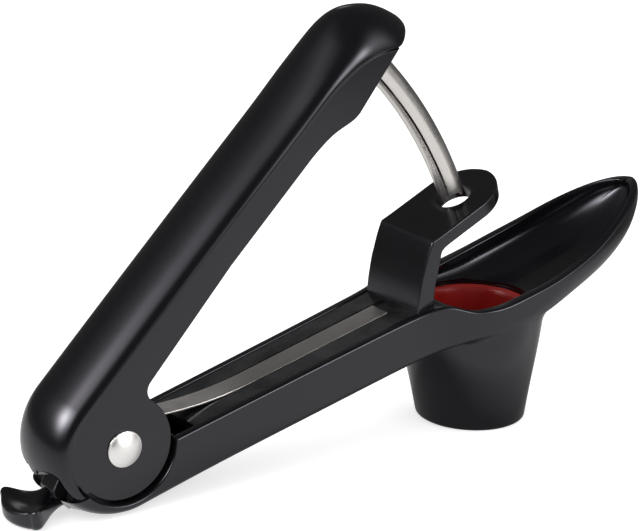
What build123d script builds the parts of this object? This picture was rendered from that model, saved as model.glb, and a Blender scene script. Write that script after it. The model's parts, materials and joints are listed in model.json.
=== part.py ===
"""Lever cherry pitter: two handles on one rivet, a curved plunger, a guide and a lined cup.

The tool stands on the table on its cup and on the round tail under the pivot. The origin is on the
table at the middle of the tool's length, +X runs from the pivot to the splash shield and +Z is up.
The lower handle climbs from the pivot to the cup, so most profiles are drawn in the side plane of a
handle: "along" runs out from the pivot and "up" is square to it. Lengths are in millimetres, angles
in degrees.
"""
import os
from math import cos, radians, sin, sqrt

from build123d import *

# Stance of the whole tool.
pivot_x = -64.1
handle_tilt = 14.7
lever_opening = 31.0

# Clearances: between moving pieces, round seated pieces, and in the pin bores.
running_gap = 0.35
seat_gap = 0.05
bore_gap = 0.06

# Rivet at the pivot.
rivet_radius = 2.5
rivet_stud_radius = 1.5
rivet_head_radius = 4.1
rivet_head_height = 1.3
rivet_head_rim = 0.5
rivet_head_gap = 0.1

# Lever, the upper handle.
ear_radius = 11.0
ear_inner = 6.4
lever_half_width = 8.75
crown_half_width = 9.75
crown_line = 13.6
crown_height = 4.3
cavity_top = 14.9
tail_cavity_radius = 15.2
tail_end_angle = 172.0
tail_end_height = -5.3
notch_half_width = 6.0
notch_height = 2.5
hub_radius = 6.0
hub_half_width = 3.0
web_half_length = 4.5
nose_at = (8.7, 3.0)
nose_radius = 1.4
lock_tooth_radius = 10.7
lock_tooth_angles = (165.0, 173.0)

# Plunger tube, bent to an arc round the pivot. Angles are above the lower handle. The lever's head,
# the bracket, the cup and the bowl all keep their distance from this arc.
plunger_arc_radius = 101.4
plunger_radius = 3.0
plunger_wall = 0.5
plunger_tip_angle = 9.0
plunger_top_angle = 37.6
seam_width = 0.5
seam_angle = 225.0
scallop_radius = 1.45
pin_radius = 1.0
plunger_pin_angle = 36.0
socket_half_width = 4.6
socket_inward = 6.0
socket_outward = 5.4
socket_mouth = 4.6

# Lower handle.
handle_top = -3.0
handle_bottom = -14.2
handle_half_width = 10.05
handle_end_half_width = 11.0
handle_wall = 1.9
handle_floor = 1.8
edge_round = 1.6
ledge_width = 1.0
cradle_radius = 15.2
cradle_rim = -7.8
wall_arc_radius = 12.4
lug_inner = 3.4
lug_outer = 6.1
lug_radius = 8.4
bowl_setback = 21.4

# Cup, in level slices above the table.
cup_offset = 0.6
cup_foot_radius = 12.9
cup_wall = 1.9
cup_shelf = 15.0
cup_shelf_radius = 10.6
cup_shelf_thickness = 1.6

# Silicone liner.
liner_top = 28.5
liner_top_radius = 14.7
liner_lip = 2.0
liner_floor = 1.4
liner_hole_radius = 4.4
liner_slit_width = 0.7
liner_slit_reach = 7.6
liner_slit_count = 6

# Guide: tray plate and bracket in one moulding.
tray_start = 17.8
tray_recess = 0.3
tray_thickness = 2.3
slot_half_width = 3.3
slot_gap = 0.4
slot_pocket = 4.2
slot_pocket_depth = 1.6
bracket_half_width = 9.5
bracket_foot_setback = 22.8
bracket_foot_length = 5.4
bracket_rise = 0.5
bracket_bend_setback = 15.3
bracket_height = 12.1
plate_overhang = 9.4
tray_ledge = 0.6
bracket_plate = 3.0
bracket_leg = 3.6
bracket_slope = 10.6
guide_hole_radius = 4.0
screw_places = (32.0, 66.0)
screw_radius = 1.3
screw_head_radius = 2.5
screw_head_height = 1.5
screw_length = 6.0
screw_seat = 1.5
post_radius = 4.2
post_height = 3.0
boss_radius = 3.0

# Leaf spring.
spring_half_width = 2.9
spring_thickness = 0.6
spring_front_gap = 3.2
spring_lift_start = 38.0
spring_bend_radius = 95.0
spring_turn = 17.9
spring_hook = 1.0

# Lock latch at the tail.
latch_pin_at = (-11.5, -8.0)
latch_boss_radius = 2.3
latch_half_width = 2.9
latch_pin_reach = 6.0
hook_outer = 14.8
hook_inner = 13.2
hook_tip = 11.6
hook_end_angle = 181.0
hook_tip_angle = 6.0
tab_half_width = 7.2
tab_neck_half_width = 4.9
tab_neck_start = -14.0
tab_end = -24.0

os.makedirs("parts", exist_ok=True)

pivot = Vector(pivot_x, 0, cradle_radius)
pivot_axis = Axis(pivot, (0, -1, 0))
lever_tilt = handle_tilt + lever_opening
cup_x = pivot_x + plunger_arc_radius + cup_offset
bore_x = pivot_x + plunger_arc_radius
bracket_foot = plunger_arc_radius - bracket_foot_setback
bracket_bend = (plunger_arc_radius - bracket_bend_setback, bracket_height)
plate_tip = plunger_arc_radius + plate_overhang
tray_end = bracket_foot + bracket_foot_length + tray_ledge
slot_end = bracket_foot - slot_gap
spring_front = slot_end - spring_front_gap
bowl_start = plunger_arc_radius - bowl_setback
socket_start = plunger_arc_radius - socket_inward
socket_end = plunger_arc_radius + socket_outward
inner_floor = handle_bottom + handle_floor
tray_top = handle_top - tray_recess
tray_bottom = tray_top - tray_thickness
slot_floor = tray_top - spring_thickness - seat_gap
spring_top = slot_floor + seat_gap / 2 + spring_thickness
post_top = inner_floor + post_height
screw_head_top = post_top - screw_seat


def direction(angle):
    return Vector(cos(radians(angle)), 0, sin(radians(angle)))


def polar(radius, angle):
    return (radius * cos(radians(angle)), radius * sin(radians(angle)))


def place(tilt, along, up):
    """A point of the middle plane, given along and up a piece that climbs at a tilt."""
    return pivot + direction(tilt) * along + direction(tilt + 90) * up


def side_plane(tilt):
    """Side view through the pivot: local x is along the piece, local y is up from it."""
    return Plane(origin=pivot, x_dir=direction(tilt), z_dir=(0, -1, 0))


def cross_plane(tilt, along):
    """Square cut through a piece: local x is +Y, local y is up."""
    return Plane(origin=place(tilt, along, 0), x_dir=(0, 1, 0), z_dir=direction(tilt))


def deck_plane(tilt, along, up):
    """A plane parallel to a piece's top: local x is along, local y is +Y."""
    return Plane(origin=place(tilt, along, up), x_dir=direction(tilt), z_dir=direction(tilt + 90))


def half_width_at(along):
    """Half the lower handle's width: it widens steadily from the pivot to the bracket."""
    share = (along - wall_arc_radius) / (bracket_foot - wall_arc_radius)
    return handle_half_width + (handle_end_half_width - handle_half_width) * share


def bore_radius(height):
    """Inside of the cup: one wall in from the foot, and as wide as the liner at its top."""
    foot = cup_foot_radius - cup_wall
    return foot + (liner_top_radius - foot) * height / liner_top


handle_side = side_plane(handle_tilt)
lever_side = side_plane(lever_tilt)


class Trough(BaseSketchObject):
    """Closed U outline: flat top, upright sides, rounded lower corners and a flat bottom."""

    def __init__(self, half_width, top, bottom, rise, inset, mode=Mode.ADD):
        with BuildSketch() as trough:
            with BuildLine():
                Line((-half_width, top), (half_width, top))
                Line((half_width, top), (half_width, bottom + rise))
                Bezier((half_width, bottom + rise), (half_width, bottom), (half_width - inset, bottom))
                Line((half_width - inset, bottom), (inset - half_width, bottom))
                Bezier((inset - half_width, bottom), (-half_width, bottom), (-half_width, bottom + rise))
                Line((-half_width, bottom + rise), (-half_width, top))
            make_face()
        super().__init__(obj=trough.sketch, rotation=0, align=None, mode=mode)


class Crown(BaseSketchObject):
    """Half an ellipse standing on a flat base."""

    def __init__(self, half_width, base, top, mode=Mode.ADD):
        with BuildSketch() as crown:
            with BuildLine():
                Line((half_width, base), (-half_width, base))
                EllipticalCenterArc((0, base), half_width, top - base, 0, arc_size=180)
            make_face()
        super().__init__(obj=crown.sketch, rotation=0, align=None, mode=mode)


# Lower handle stations: along, half width, rim, bottom, corner rise, corner inset.
handle_stations = (
    (0.0, handle_half_width, handle_top, -cradle_radius, edge_round, edge_round),
    (bowl_start / 4, half_width_at(bowl_start / 4), handle_top, handle_bottom - 0.2, edge_round, edge_round),
    (bowl_start / 2, half_width_at(bowl_start / 2), handle_top, handle_bottom, edge_round, edge_round),
    (bowl_start * 0.9, half_width_at(bowl_start * 0.9), handle_top, handle_bottom, edge_round, edge_round),
    (bowl_start, 11.7, handle_top, handle_bottom, edge_round, edge_round),
)
# Bowl stations: distance past the plunger's arc, then the same five sizes.
bowl_stations = (
    (-bowl_setback, 11.7, handle_top, handle_bottom, edge_round, edge_round),
    (-18.4, 12.4, handle_top, handle_bottom, edge_round, edge_round),
    (-15.8, 13.1, -3.3, -14.3, edge_round, 1.7),
    (-13.2, 13.9, -4.9, -14.4, 1.7, 1.8),
    (-10.4, 14.8, -6.9, -14.6, 1.7, 1.9),
    (-7.4, 15.7, -8.0, -15.0, 1.8, 2.1),
    (-3.4, 16.4, -8.6, -15.6, 2.1, 2.7),
    (2.6, 16.8, -8.8, -16.8, 3.2, 4.4),
    (10.6, 16.8, -8.8, -18.3, 5.4, 8.0),
    (18.6, 16.3, -8.4, -18.9, 7.6, 11.0),
    (26.6, 15.1, -7.6, -18.2, 8.0, 11.0),
    (34.6, 13.0, -6.1, -16.2, 7.8, 9.8),
    (41.6, 10.3, -4.7, -13.2, 6.6, 7.8),
    (46.6, 7.6, -3.7, -10.0, 4.9, 5.8),
    (50.0, 4.9, -3.1, -7.2, 3.2, 3.7),
    (52.0, 2.2, -2.9, -5.0, 1.7, 1.7),
)
# Outside of the cup: height above the table, growth of the radius, lean of the centre.
cup_stations = (
    (0.0, 0.0, 0.0),
    (9.0, 1.7, -0.65),
    (18.0, 3.3, -1.0),
    (27.5, 3.7, 0.0),
)
# Inside of the bowl and shield: past the arc, half width, bottom, corner rise, corner inset.
hollow_top = 3.0
hollow_stations = (
    (-13.8, 11.6, -9.6, 3.0, 4.0),
    (-9.9, 13.4, -10.6, 3.4, 5.0),
    (-4.4, 14.7, -12.0, 4.0, 6.0),
    (2.6, 15.0, -13.9, 5.0, 7.4),
    (10.6, 15.0, -16.0, 6.2, 9.4),
    (18.6, 14.5, -16.9, 7.0, 10.4),
    (26.6, 13.3, -16.2, 7.2, 10.0),
    (34.6, 11.2, -14.2, 6.6, 8.6),
    (41.6, 8.5, -11.1, 5.2, 6.4),
    (46.2, 5.9, -8.0, 3.2, 4.2),
    (49.2, 3.0, -5.2, 1.6, 1.9),
)

with BuildPart() as lower_handle:
    # Straight trough, then the bowl and splash shield.
    for stations, start, straight in ((handle_stations, 0, True), (bowl_stations, plunger_arc_radius, False)):
        for past, half_width, top, bottom, rise, inset in stations:
            with BuildSketch(cross_plane(handle_tilt, start + past)):
                Trough(half_width, top, bottom, rise, inset)
        loft(ruled=straight)
    # Round tail under the pivot.
    with BuildSketch(handle_side):
        with BuildLine():
            CenterArc((0, 0), cradle_radius, 180, 90)
            Line((0, -cradle_radius), (0, 0))
            Line((0, 0), (-cradle_radius, 0))
        make_face()
    extrude(amount=handle_half_width, both=True)
    # Cup: level circles that grow and lean back a little.
    for height, growth, lean in cup_stations:
        with BuildSketch(Plane.XY.offset(height)):
            with Locations((cup_x + lean, 0)):
                Circle(cup_foot_radius + growth)
    loft()
    for past, half_width, bottom, rise, inset in hollow_stations:
        with BuildSketch(cross_plane(handle_tilt, plunger_arc_radius + past)):
            Trough(half_width, hollow_top, bottom, rise, inset)
    loft(mode=Mode.SUBTRACT)
    # Bore of the cup, with the shelf that carries the liner.
    shelf_bottom = cup_shelf - cup_shelf_thickness
    with BuildSketch(Plane.XZ):
        with BuildLine():
            Polyline(
                (bore_x, -1),
                (bore_x + bore_radius(-1), -1),
                (bore_x + bore_radius(shelf_bottom), shelf_bottom),
                (bore_x + cup_shelf_radius, shelf_bottom),
                (bore_x + cup_shelf_radius, cup_shelf),
                (bore_x + bore_radius(cup_shelf), cup_shelf),
                (bore_x + liner_top_radius, liner_top),
                (bore_x + liner_top_radius, liner_top + 1),
                (bore_x, liner_top + 1),
                close=True,
            )
        make_face()
    revolve(axis=Axis((bore_x, 0, 0), (0, 0, 1)), mode=Mode.SUBTRACT)
    # Channel under the tray, and the wider seat of the tray plate above it.
    for bottom, inward in ((inner_floor, handle_wall + ledge_width), (tray_bottom - seat_gap, handle_wall)):
        for along in (wall_arc_radius, tray_end + seat_gap):
            reach = half_width_at(along) - inward
            with BuildSketch(cross_plane(handle_tilt, along)):
                with BuildLine():
                    Polyline((-reach, bottom), (reach, bottom), (reach, 1), (-reach, 1), close=True)
                make_face()
        loft(mode=Mode.SUBTRACT)
    # Room for the lever's ears outside, and for its hub and the latch between them.
    for side in (-1, 1):
        with BuildSketch(handle_side.offset(side * lug_outer)):
            Circle(wall_arc_radius)
        extrude(amount=side * handle_half_width, mode=Mode.SUBTRACT)
    with BuildSketch(handle_side):
        Circle(cradle_radius - handle_floor)
    extrude(amount=lug_outer, both=True, mode=Mode.SUBTRACT)
    with BuildSketch(handle_side):
        with Locations((0, cradle_rim)):
            Rectangle(2 * cradle_radius, 2 * cradle_radius, align=(Align.MAX, Align.MIN))
    extrude(amount=2 * handle_half_width, both=True, mode=Mode.SUBTRACT)
    # Two lugs carry the rivet and reach back to the latch pin.
    for side in (-1, 1):
        with BuildSketch(handle_side.offset(side * lug_inner)):
            Circle(lug_radius)
            with Locations(latch_pin_at):
                Circle(2 * pin_radius)
            with BuildLine():
                Polyline(
                    polar(lug_radius, 200),
                    (latch_pin_at[0] + 1.0, latch_pin_at[1] + 1.6),
                    (latch_pin_at[0] - 1.0, latch_pin_at[1] - 1.6),
                    polar(cradle_radius - handle_floor / 2, 228),
                    polar(cradle_radius - handle_floor / 2, 270),
                    (7.0, inner_floor - handle_floor / 2),
                    (7.4, -4.0),
                    close=True,
                )
            make_face()
        extrude(amount=side * (lug_outer - lug_inner))
    # The latch swings in a slot through the tail.
    with BuildSketch(handle_side):
        with Locations(latch_pin_at):
            Circle(latch_boss_radius + running_gap)
        with BuildLine():
            slot_bottom = latch_pin_at[1] - latch_boss_radius - running_gap
            Polyline(
                latch_pin_at,
                (latch_pin_at[0], slot_bottom),
                (-cradle_radius - 1, slot_bottom),
                (-cradle_radius - 1, latch_pin_at[1]),
                close=True,
            )
        make_face()
    extrude(amount=latch_half_width + running_gap, both=True, mode=Mode.SUBTRACT)
    # Screw posts rise from the floor, and the screws come up from below.
    for along in screw_places:
        with BuildSketch(deck_plane(handle_tilt, along, inner_floor - handle_floor / 2)):
            Circle(post_radius)
        extrude(amount=post_height + handle_floor / 2)
    for along in screw_places:
        with BuildSketch(deck_plane(handle_tilt, along, handle_bottom - 1)):
            Circle(screw_head_radius + seat_gap)
        extrude(amount=screw_head_top - handle_bottom + 1, mode=Mode.SUBTRACT)
        with BuildSketch(deck_plane(handle_tilt, along, screw_head_top - seat_gap)):
            Circle(screw_radius + seat_gap)
        extrude(amount=screw_seat + 2 * seat_gap, mode=Mode.SUBTRACT)
    # Bores for the rivet and the latch pin.
    with BuildSketch(handle_side):
        Circle(rivet_radius + bore_gap)
        with Locations(latch_pin_at):
            Circle(pin_radius + seat_gap)
    extrude(amount=lug_outer + 1, both=True, mode=Mode.SUBTRACT)
lower_handle.part.label = "lower_handle"
export_step(lower_handle.part, "parts/lower_handle.step")

liner_foot = cup_shelf + seat_gap
liner_wall = liner_lip * 0.8
with BuildPart() as cup_liner:
    with BuildSketch(Plane.XZ):
        with BuildLine():
            Polyline(
                (bore_x + liner_hole_radius, liner_foot),
                (bore_x + bore_radius(liner_foot) - seat_gap, liner_foot),
                (bore_x + liner_top_radius - seat_gap, liner_top),
                (bore_x + liner_top_radius - liner_lip, liner_top),
                (bore_x + bore_radius(liner_foot + 3 * liner_floor) - liner_wall, liner_foot + 3 * liner_floor),
                (bore_x + cup_shelf_radius - liner_wall, liner_foot + liner_floor),
                (bore_x + liner_hole_radius, liner_foot + liner_floor),
                close=True,
            )
        make_face()
    revolve(axis=Axis((bore_x, 0, 0), (0, 0, 1)))
    # Slits let the stone through the floor.
    with BuildSketch(Plane.XY.offset(liner_foot - 1)):
        with Locations((bore_x, 0)):
            with PolarLocations(0, liner_slit_count):
                Rectangle(liner_slit_reach, liner_slit_width, align=(Align.MIN, Align.CENTER))
    extrude(amount=liner_floor + 2, mode=Mode.SUBTRACT)
cup_liner.part.label = "cup_liner"
export_step(cup_liner.part, "parts/cup_liner.step")

plate_run = direction(bracket_slope)
plate_end = (plate_tip, bracket_bend[1] + (plate_tip - bracket_bend[0]) * plate_run.Z / plate_run.X)
# The guide hole stands square to the plate where the plunger's arc crosses its middle.
plate_middle = bracket_bend[1] * plate_run.X - bracket_bend[0] * plate_run.Z - bracket_plate / 2
guide_hole_along = sqrt(plunger_arc_radius**2 - plate_middle**2)

with BuildPart() as guide_insert:
    # Tray plate between the handle's walls.
    for along in (tray_start, tray_end):
        reach = half_width_at(along) - handle_wall - seat_gap
        with BuildSketch(cross_plane(handle_tilt, along)):
            with BuildLine():
                Polyline((-reach, tray_bottom), (reach, tray_bottom), (reach, tray_top), (-reach, tray_top), close=True)
            make_face()
    loft()
    # Foot of the bracket, up to the rim of the walls.
    foot_end = bracket_foot + bracket_foot_length
    foot_width = half_width_at(bracket_foot) - handle_wall - seat_gap
    with BuildSketch(deck_plane(handle_tilt, (bracket_foot + foot_end) / 2, tray_bottom)):
        Rectangle(bracket_foot_length, 2 * foot_width)
    extrude(amount=handle_top + bracket_rise + seat_gap - tray_bottom)
    # Bracket: sloping leg and plate, drawn from the side.
    with BuildSketch(handle_side):
        with BuildLine():
            base = handle_top + bracket_rise
            back = (bracket_bend[0] + bracket_leg * 1.1, bracket_bend[1] - bracket_plate)
            Polyline(
                (bracket_foot, base),
                bracket_bend,
                plate_end,
                (plate_end[0] + bracket_plate * plate_run.Z, plate_end[1] - bracket_plate * plate_run.X),
                (back[0] + 3.0, back[1] + 3.0 * plate_run.Z),
                (back[0] - 0.6, back[1] - 2.4),
                (foot_end - 1.6, base + 2.2),
                (foot_end, base),
                close=True,
            )
        make_face()
    extrude(amount=bracket_half_width, both=True)
    # The plate ends in a half round.
    with BuildSketch(deck_plane(handle_tilt, 0, 0)):
        with Locations((plate_tip - bracket_half_width, 0)):
            Circle(bracket_half_width)
        Rectangle(plate_tip - bracket_half_width, 4 * bracket_half_width, align=(Align.MIN, Align.CENTER))
    extrude(amount=2 * bracket_bend[1], both=True, mode=Mode.INTERSECT)
    # Guide hole for the plunger, square to the plate.
    with BuildSketch(cross_plane(handle_tilt + bracket_slope + 90, 0)):
        with Locations((0, -guide_hole_along)):
            Circle(guide_hole_radius)
    extrude(amount=bracket_bend[1], both=True, mode=Mode.SUBTRACT)
    # Slot of the leaf spring, deeper where its hooked end sits.
    with BuildSketch(deck_plane(handle_tilt, 0, tray_top)):
        Rectangle(slot_end, 2 * slot_half_width, align=(Align.MIN, Align.CENTER))
    extrude(amount=slot_floor - tray_top, mode=Mode.SUBTRACT)
    with BuildSketch(deck_plane(handle_tilt, slot_end, tray_top)):
        Rectangle(slot_pocket, 2 * slot_half_width, align=(Align.MAX, Align.CENTER))
    extrude(amount=-slot_pocket_depth, mode=Mode.SUBTRACT)
    # Bosses for the screws.
    for along in screw_places:
        with BuildSketch(deck_plane(handle_tilt, along, post_top + seat_gap)):
            Circle(boss_radius)
            Circle(screw_radius + seat_gap, mode=Mode.SUBTRACT)
        extrude(amount=tray_bottom - post_top - seat_gap)
        with BuildSketch(deck_plane(handle_tilt, along, tray_bottom)):
            Circle(screw_radius + seat_gap)
        extrude(amount=0.9, mode=Mode.SUBTRACT)
guide_insert.part.label = "guide_insert"
export_step(guide_insert.part, "parts/guide_insert.step")

with BuildPart() as insert_screws:
    for along in screw_places:
        with BuildSketch(deck_plane(handle_tilt, along, screw_head_top - seat_gap)):
            Circle(screw_head_radius)
        extrude(amount=-screw_head_height)
        with BuildSketch(deck_plane(handle_tilt, along, screw_head_top - seat_gap)):
            Circle(screw_radius)
        extrude(amount=screw_length)
insert_screws.part.label = "insert_screws"
export_step(insert_screws.part, "parts/insert_screws.step")

# The strip is straight in its slot and curves up to its free end under the lever's nose.
spring_centre = (spring_lift_start, spring_top + spring_bend_radius)
with BuildPart() as leaf_spring:
    with BuildSketch(handle_side):
        with BuildLine():
            upper = CenterArc(spring_centre, spring_bend_radius, 270, -spring_turn)
            lower = CenterArc(spring_centre, spring_bend_radius + spring_thickness, 270, -spring_turn)
            Line(upper @ 1, lower @ 1)
            bottom = spring_top - spring_thickness
            Polyline(
                lower @ 0,
                (spring_front - spring_thickness, bottom),
                (spring_front - spring_thickness, bottom - spring_hook + seat_gap),
                (spring_front, bottom - spring_hook + seat_gap),
                (spring_front, spring_top),
                upper @ 0,
            )
        make_face()
    extrude(amount=spring_half_width, both=True)
leaf_spring.part.label = "leaf_spring"
export_step(leaf_spring.part, "parts/leaf_spring.step")

# The rivet: a tube with a domed head on the near side, and a stud with the other head inside it.
head_seat = lever_half_width + rivet_head_gap

with BuildPart() as pivot_barrel:
    with BuildSketch(handle_side.offset(head_seat)):
        Circle(rivet_head_radius)
    extrude(amount=rivet_head_rim)
    with BuildSketch(handle_side.offset(head_seat)):
        Circle(rivet_radius)
    extrude(amount=-2 * head_seat + running_gap)
    with BuildSketch(handle_side.offset(head_seat + rivet_head_rim)):
        Circle(rivet_head_radius)
    extrude(amount=rivet_head_height - rivet_head_rim, taper=60)
    with BuildSketch(handle_side.offset(head_seat - rivet_head_rim)):
        Circle(rivet_stud_radius + seat_gap)
    extrude(amount=-2 * head_seat, mode=Mode.SUBTRACT)
pivot_barrel.part.label = "pivot_barrel"
export_step(pivot_barrel.part, "parts/pivot_barrel.step")

with BuildPart() as pivot_stud:
    with BuildSketch(handle_side.offset(-head_seat)):
        Circle(rivet_head_radius)
    extrude(amount=-rivet_head_rim)
    with BuildSketch(handle_side.offset(-head_seat - rivet_head_rim)):
        Circle(rivet_head_radius)
    extrude(amount=-(rivet_head_height - rivet_head_rim), taper=60)
    with BuildSketch(handle_side.offset(-head_seat)):
        Circle(rivet_stud_radius)
    extrude(amount=2 * head_seat - 2 * rivet_head_rim)
pivot_stud.part.label = "pivot_stud"
export_step(pivot_stud.part, "parts/pivot_stud.step")

# Lever nose stations: distance past the plunger's arc, half width, base, top.
nose_stations = (
    (-13.4, crown_half_width, crown_line, crown_line + crown_height),
    (-6.8, crown_half_width, 12.2, 17.6),
    (-2.4, 9.7, 10.7, 17.1),
    (1.0, 9.4, 8.7, 16.3),
    (3.8, 8.8, 5.8, 15.0),
    (6.8, 7.6, 4.9, 12.8),
    (9.2, 5.7, 4.5, 10.3),
    (10.6, 3.7, 4.4, 8.0),
    (11.3, 1.8, 4.4, 6.2),
)
arc = plunger_arc_radius
crown_corner = (arc + nose_stations[0][0], crown_line)
with BuildPart() as upper_handle:
    # Side plates: the ear's disc, the sector behind it and the long flat of the handle.
    with BuildSketch(lever_side):
        Circle(ear_radius)
        with BuildLine():
            CenterArc((0, 0), crown_line, 90, tail_end_angle - 90)
            Line(polar(crown_line, tail_end_angle), (0, 0))
            Line((0, 0), (0, crown_line))
        make_face()
        with BuildLine():
            Polyline((arc - 13.1, 3.6), (arc - 4.3, 4.7), (arc + 3.8, 5.8))
            Spline((arc + 3.8, 5.8), (arc + 1.0, 8.7), (arc - 2.4, 10.7), (arc - 6.8, 12.2), crown_corner)
            Polyline(crown_corner, (0, crown_line), (0, 5.0), (13.4, 5.0), (44.6, 6.6), (arc - 26.4, 6.6))
            Spline((arc - 26.4, 6.6), (arc - 19.4, 5.5), (arc - 14.8, 3.8), (arc - 13.1, 3.6))
        make_face()
    extrude(amount=lever_half_width, both=True)
    # Crown: straight along the handle, round the pivot at the tail, and down over the head.
    with BuildSketch(cross_plane(lever_tilt, 0)):
        Crown(crown_half_width, crown_line, crown_line + crown_height)
    extrude(amount=crown_corner[0])
    with BuildSketch(cross_plane(lever_tilt, 0)):
        Crown(crown_half_width, crown_line, crown_line + crown_height)
    revolve(axis=pivot_axis, revolution_arc=tail_end_angle - 90 + 8)
    for past, half_width, base, top in nose_stations:
        with BuildSketch(cross_plane(lever_tilt, arc + past)):
            Crown(half_width, base, top)
    loft(ruled=True)
    # Cavity, open below, over the whole length and round the tail.
    with BuildSketch(lever_side):
        with BuildLine():
            Polyline(
                (0, -crown_line),
                (0, cavity_top),
                (arc - 5.4, cavity_top),
                (arc + 0.6, 12.6),
                (arc + 5.4, 7.4),
                (arc + 6.2, 3.0),
                (arc + 6.2, -crown_line),
                close=True,
            )
        make_face()
        with BuildLine():
            CenterArc((0, 0), tail_cavity_radius, 90, 130)
            Line(polar(tail_cavity_radius, 220), (0, -crown_line))
            Line((0, -crown_line), (0, tail_cavity_radius))
        make_face()
    extrude(amount=ear_inner, both=True, mode=Mode.SUBTRACT)
    # The tail ends level with the latch, and a notch in its back lets the hook swing.
    with BuildSketch(handle_side):
        with Locations((-ear_radius + 0.3, tail_end_height)):
            Rectangle(2 * crown_line, 2 * crown_line, align=(Align.MAX, Align.MAX))
    extrude(amount=2 * crown_half_width, both=True, mode=Mode.SUBTRACT)
    with BuildSketch(cross_plane(handle_tilt, -2 * crown_line)):
        with Locations((0, notch_height)):
            RectangleRounded(2 * notch_half_width, 4 * notch_half_width, 3.0, align=(Align.CENTER, Align.MAX))
    extrude(amount=crown_line + 1, mode=Mode.SUBTRACT)
    # Hub between the lugs, its web, the nose on the spring and the tooth for the lock.
    with BuildSketch(lever_side):
        Circle(hub_radius)
        Rectangle(2 * web_half_length, cavity_top + 1, align=(Align.CENTER, Align.MIN))
        with BuildLine():
            start, end = lock_tooth_angles
            Polyline(
                polar(hub_radius - 1, start - 6),
                polar(lock_tooth_radius, start),
                polar(lock_tooth_radius, end),
                polar(hub_radius - 1, end + 10),
                close=True,
            )
        make_face()
    extrude(amount=hub_half_width, both=True)
    with BuildSketch(handle_side):
        with Locations(nose_at):
            Circle(nose_radius)
        with BuildLine():
            Polyline(
                (nose_at[0] - 0.3, nose_at[1] + nose_radius),
                (3.0, 5.1),
                (4.5, 0.5),
                (nose_at[0] - 0.5, nose_at[1] - nose_radius + 0.1),
                close=True,
            )
        make_face()
    extrude(amount=hub_half_width, both=True)
    # Socket block for the plunger, hung from the crown.
    with BuildSketch(lever_side):
        with BuildLine():
            Polyline(
                (socket_start, socket_mouth),
                (socket_start, cavity_top + 1),
                (arc - 3.4, cavity_top + 1),
                (socket_end - 2.0, 11.4),
                (socket_end, 8.6),
                (socket_end, socket_mouth),
                close=True,
            )
        make_face()
    extrude(amount=socket_half_width, both=True)
    # Bores for the plunger's cross pin, the plunger and the rivet.
    with BuildSketch(handle_side):
        with Locations(polar(plunger_arc_radius, plunger_pin_angle)):
            Circle(pin_radius + seat_gap)
    extrude(amount=socket_half_width + 1, both=True, mode=Mode.SUBTRACT)
    with BuildSketch(cross_plane(handle_tilt + plunger_tip_angle - 90, 0)):
        with Locations((0, plunger_arc_radius)):
            Circle(plunger_radius + seat_gap)
    revolve(
        axis=pivot_axis,
        revolution_arc=plunger_top_angle - plunger_tip_angle + 0.1,
        mode=Mode.SUBTRACT,
    )
    with BuildSketch(handle_side):
        Circle(rivet_radius + bore_gap)
    extrude(amount=2 * lever_half_width, both=True, mode=Mode.SUBTRACT)
upper_handle.part.label = "upper_handle"
export_step(upper_handle.part, "parts/upper_handle.step")

with BuildPart() as plunger:
    with BuildSketch(cross_plane(handle_tilt + plunger_tip_angle - 90, 0)):
        with Locations((0, plunger_arc_radius)):
            Circle(plunger_radius)
            Circle(plunger_radius - plunger_wall, mode=Mode.SUBTRACT)
            Rectangle(
                plunger_radius + 1,
                seam_width,
                rotation=seam_angle,
                align=(Align.MIN, Align.CENTER),
                mode=Mode.SUBTRACT,
            )
    revolve(axis=pivot_axis, revolution_arc=plunger_top_angle - plunger_tip_angle)
    # Four scallops leave a crown of prongs at the tip.
    with BuildSketch(handle_side):
        with Locations(polar(plunger_arc_radius, plunger_tip_angle)):
            Circle(scallop_radius)
    extrude(amount=2 * plunger_radius, both=True, mode=Mode.SUBTRACT)
    with BuildSketch(cross_plane(handle_tilt + plunger_tip_angle, plunger_arc_radius - 2 * plunger_radius)):
        Circle(scallop_radius)
    extrude(amount=4 * plunger_radius, mode=Mode.SUBTRACT)
    # Cross holes for the pin.
    with BuildSketch(handle_side):
        with Locations(polar(plunger_arc_radius, plunger_pin_angle)):
            Circle(pin_radius + seat_gap)
    extrude(amount=2 * plunger_radius, both=True, mode=Mode.SUBTRACT)
plunger.part.label = "plunger"
export_step(plunger.part, "parts/plunger.step")

with BuildPart() as plunger_pin:
    with BuildSketch(handle_side):
        with Locations(polar(plunger_arc_radius, plunger_pin_angle)):
            Circle(pin_radius)
    extrude(amount=socket_half_width, both=True)
plunger_pin.part.label = "plunger_pin"
export_step(plunger_pin.part, "parts/plunger_pin.step")

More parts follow.
